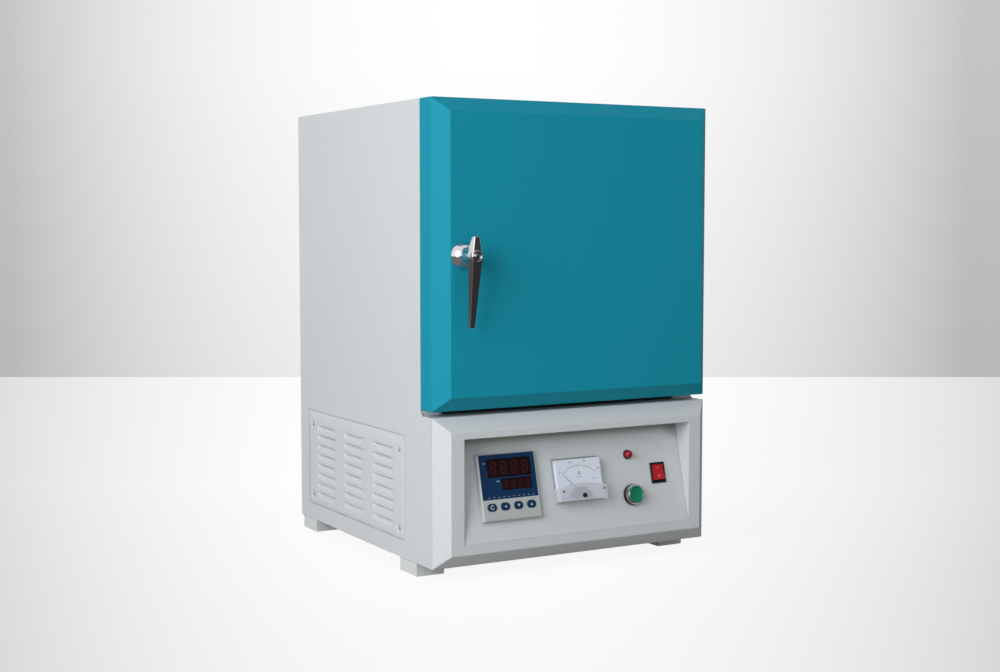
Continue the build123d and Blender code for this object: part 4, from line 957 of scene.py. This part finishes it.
def drafted(points, angle, bore):
    """Points of the lever, thinned from behind, with sides that lean in towards its front.

    Its depth behind the front face is cut to 0.72 of itself. Half a width, cut to the blade's
    own, grows by tan(angle) x (depth - 3 mm), and by 1.1 mm on the front face, where the edges'
    facets end. Points within the bore's radius keep their x, and none comes nearer to its axis.
    """
    x, forward, z = (points - door_plane).T * ((1,), (-1,), (1,))
    face = np.interp(z, (-0.1, -0.0088, 0.0088, 0.0275), (0.027, 0.042, 0.042, 0.041))
    depth = 0.72 * (face - forward)
    blade = np.interp(z, (-0.1, 0, 0.0265), (0.004, 0.0078, 0.0042))
    half = np.minimum(np.abs(x) + 0.0011 * (depth < 0.0002), blade)
    wider = half + np.tan(angle) * (depth - 0.003)
    least = np.sqrt(np.clip(bore**2 - z**2, 0, None))
    outside = (np.hypot(x, z) > bore) & (np.abs(x) > 0.0015)
    moved = points.copy()
    moved[:, 0] = door_plane[0] + np.where(outside, np.sign(x) * np.maximum(wider, least), x)
    moved[:, 1] = door_plane[1] - face + depth
    return moved


corners = np.empty(len(lever_mesh.vertices) * 3)
lever_mesh.vertices.foreach_get("co", corners)
corners = drafted(corners.reshape(-1, 3), radians(11.5), 0.0066)
lever_mesh.vertices.foreach_set("co", corners.ravel())
lever_mesh.materials.clear()
lever_mesh.materials.append(rubbed_chrome)
lever_mesh.polygons.foreach_set("use_smooth", np.ones(len(lever_mesh.polygons), bool))
lever = bpy.data.objects.new("cast_lever", lever_mesh)
bpy.context.scene.collection.objects.link(lever)
lever.modifiers.new("sharp_edges", "EDGE_SPLIT").split_angle = radians(25)
lever.modifiers.new("flat_faces", "WEIGHTED_NORMAL").weight = 100
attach(lever, "lever")
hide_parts("handle_lever")
turned(
    "lock_boss",
    softened(
        [(0, 0), (8.4, 0), (8.4, 7.4), (7.6, 8.5), (6.8, 8.5), (6.15, 7.6), (6.15, 1), (0, 1)],
        0.5,
    ),
    door_plane - (0, 0.034, 0), door_out, rubbed_chrome, "lever", steps=64, smooth=45,
)
nickel = finish("lock_brass", (0.4, 0.39, 0.37), 0.2, metal=1.0, drift=0.08, patch=0.004)
lock = turned(
    "lock_cylinder",
    softened(
        [
            (0, 0), (5.9, 0), (5.9, 10.4), (5.3, 11.2), (4.7, 11.2), (4.3, 10.4), (3.5, 10.4),
            (3.3, 11.0), (2.2, 11.7), (0, 11.75),
        ],
        0.5,
    ),
    door_plane - (0, 0.0314, 0), door_out, nickel, "lock", steps=48, smooth=50,
)
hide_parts("lock_barrel")
# The key slot is a black plate flush on the plug's face: painted shade of the keyway's opening.
slot_height = 42.85
plates(
    "key_slot", [rounded_box(-0.4, 0.4, -1.8, 1.8, 0.3)],
    lambda x, u, h: door_plane + np.stack((x, -(h + slot_height) + 0 * x, u), -1) / 1000, 0.3,
    black_plastic, "lock",
)
dress(plated_steel, "handle_spindle", "latch_cam", "latch_keeper")


# Hinges: two plated steel butt hinges with loose pins, on the right side of cabinet and door.
# Three screws hold each leaf, the middle one further from the pin.
dress(plated_steel, "cabinet_hinge_leaves", "door_hinge_leaves", "hinge_pins")
leaf_face, hinge_middles, screw_gap = 236.0, (304.0, 616.0), 23
hinge_screw_z = np.array([m + dz for m in hinge_middles for dz in (-screw_gap, 0, screw_gap)])
stagger = np.array((0, 7, 0) * 2)
leaf_rows = (("cabinet", 46 + stagger), ("door", 21 - stagger))
for body, y in leaf_rows:
    feet = in_frame(leaf_face, y, hinge_screw_z)
    screw_heads(body + "_hinge_screws", feet, (1, 0, 0), 0.003, plated_steel, body)
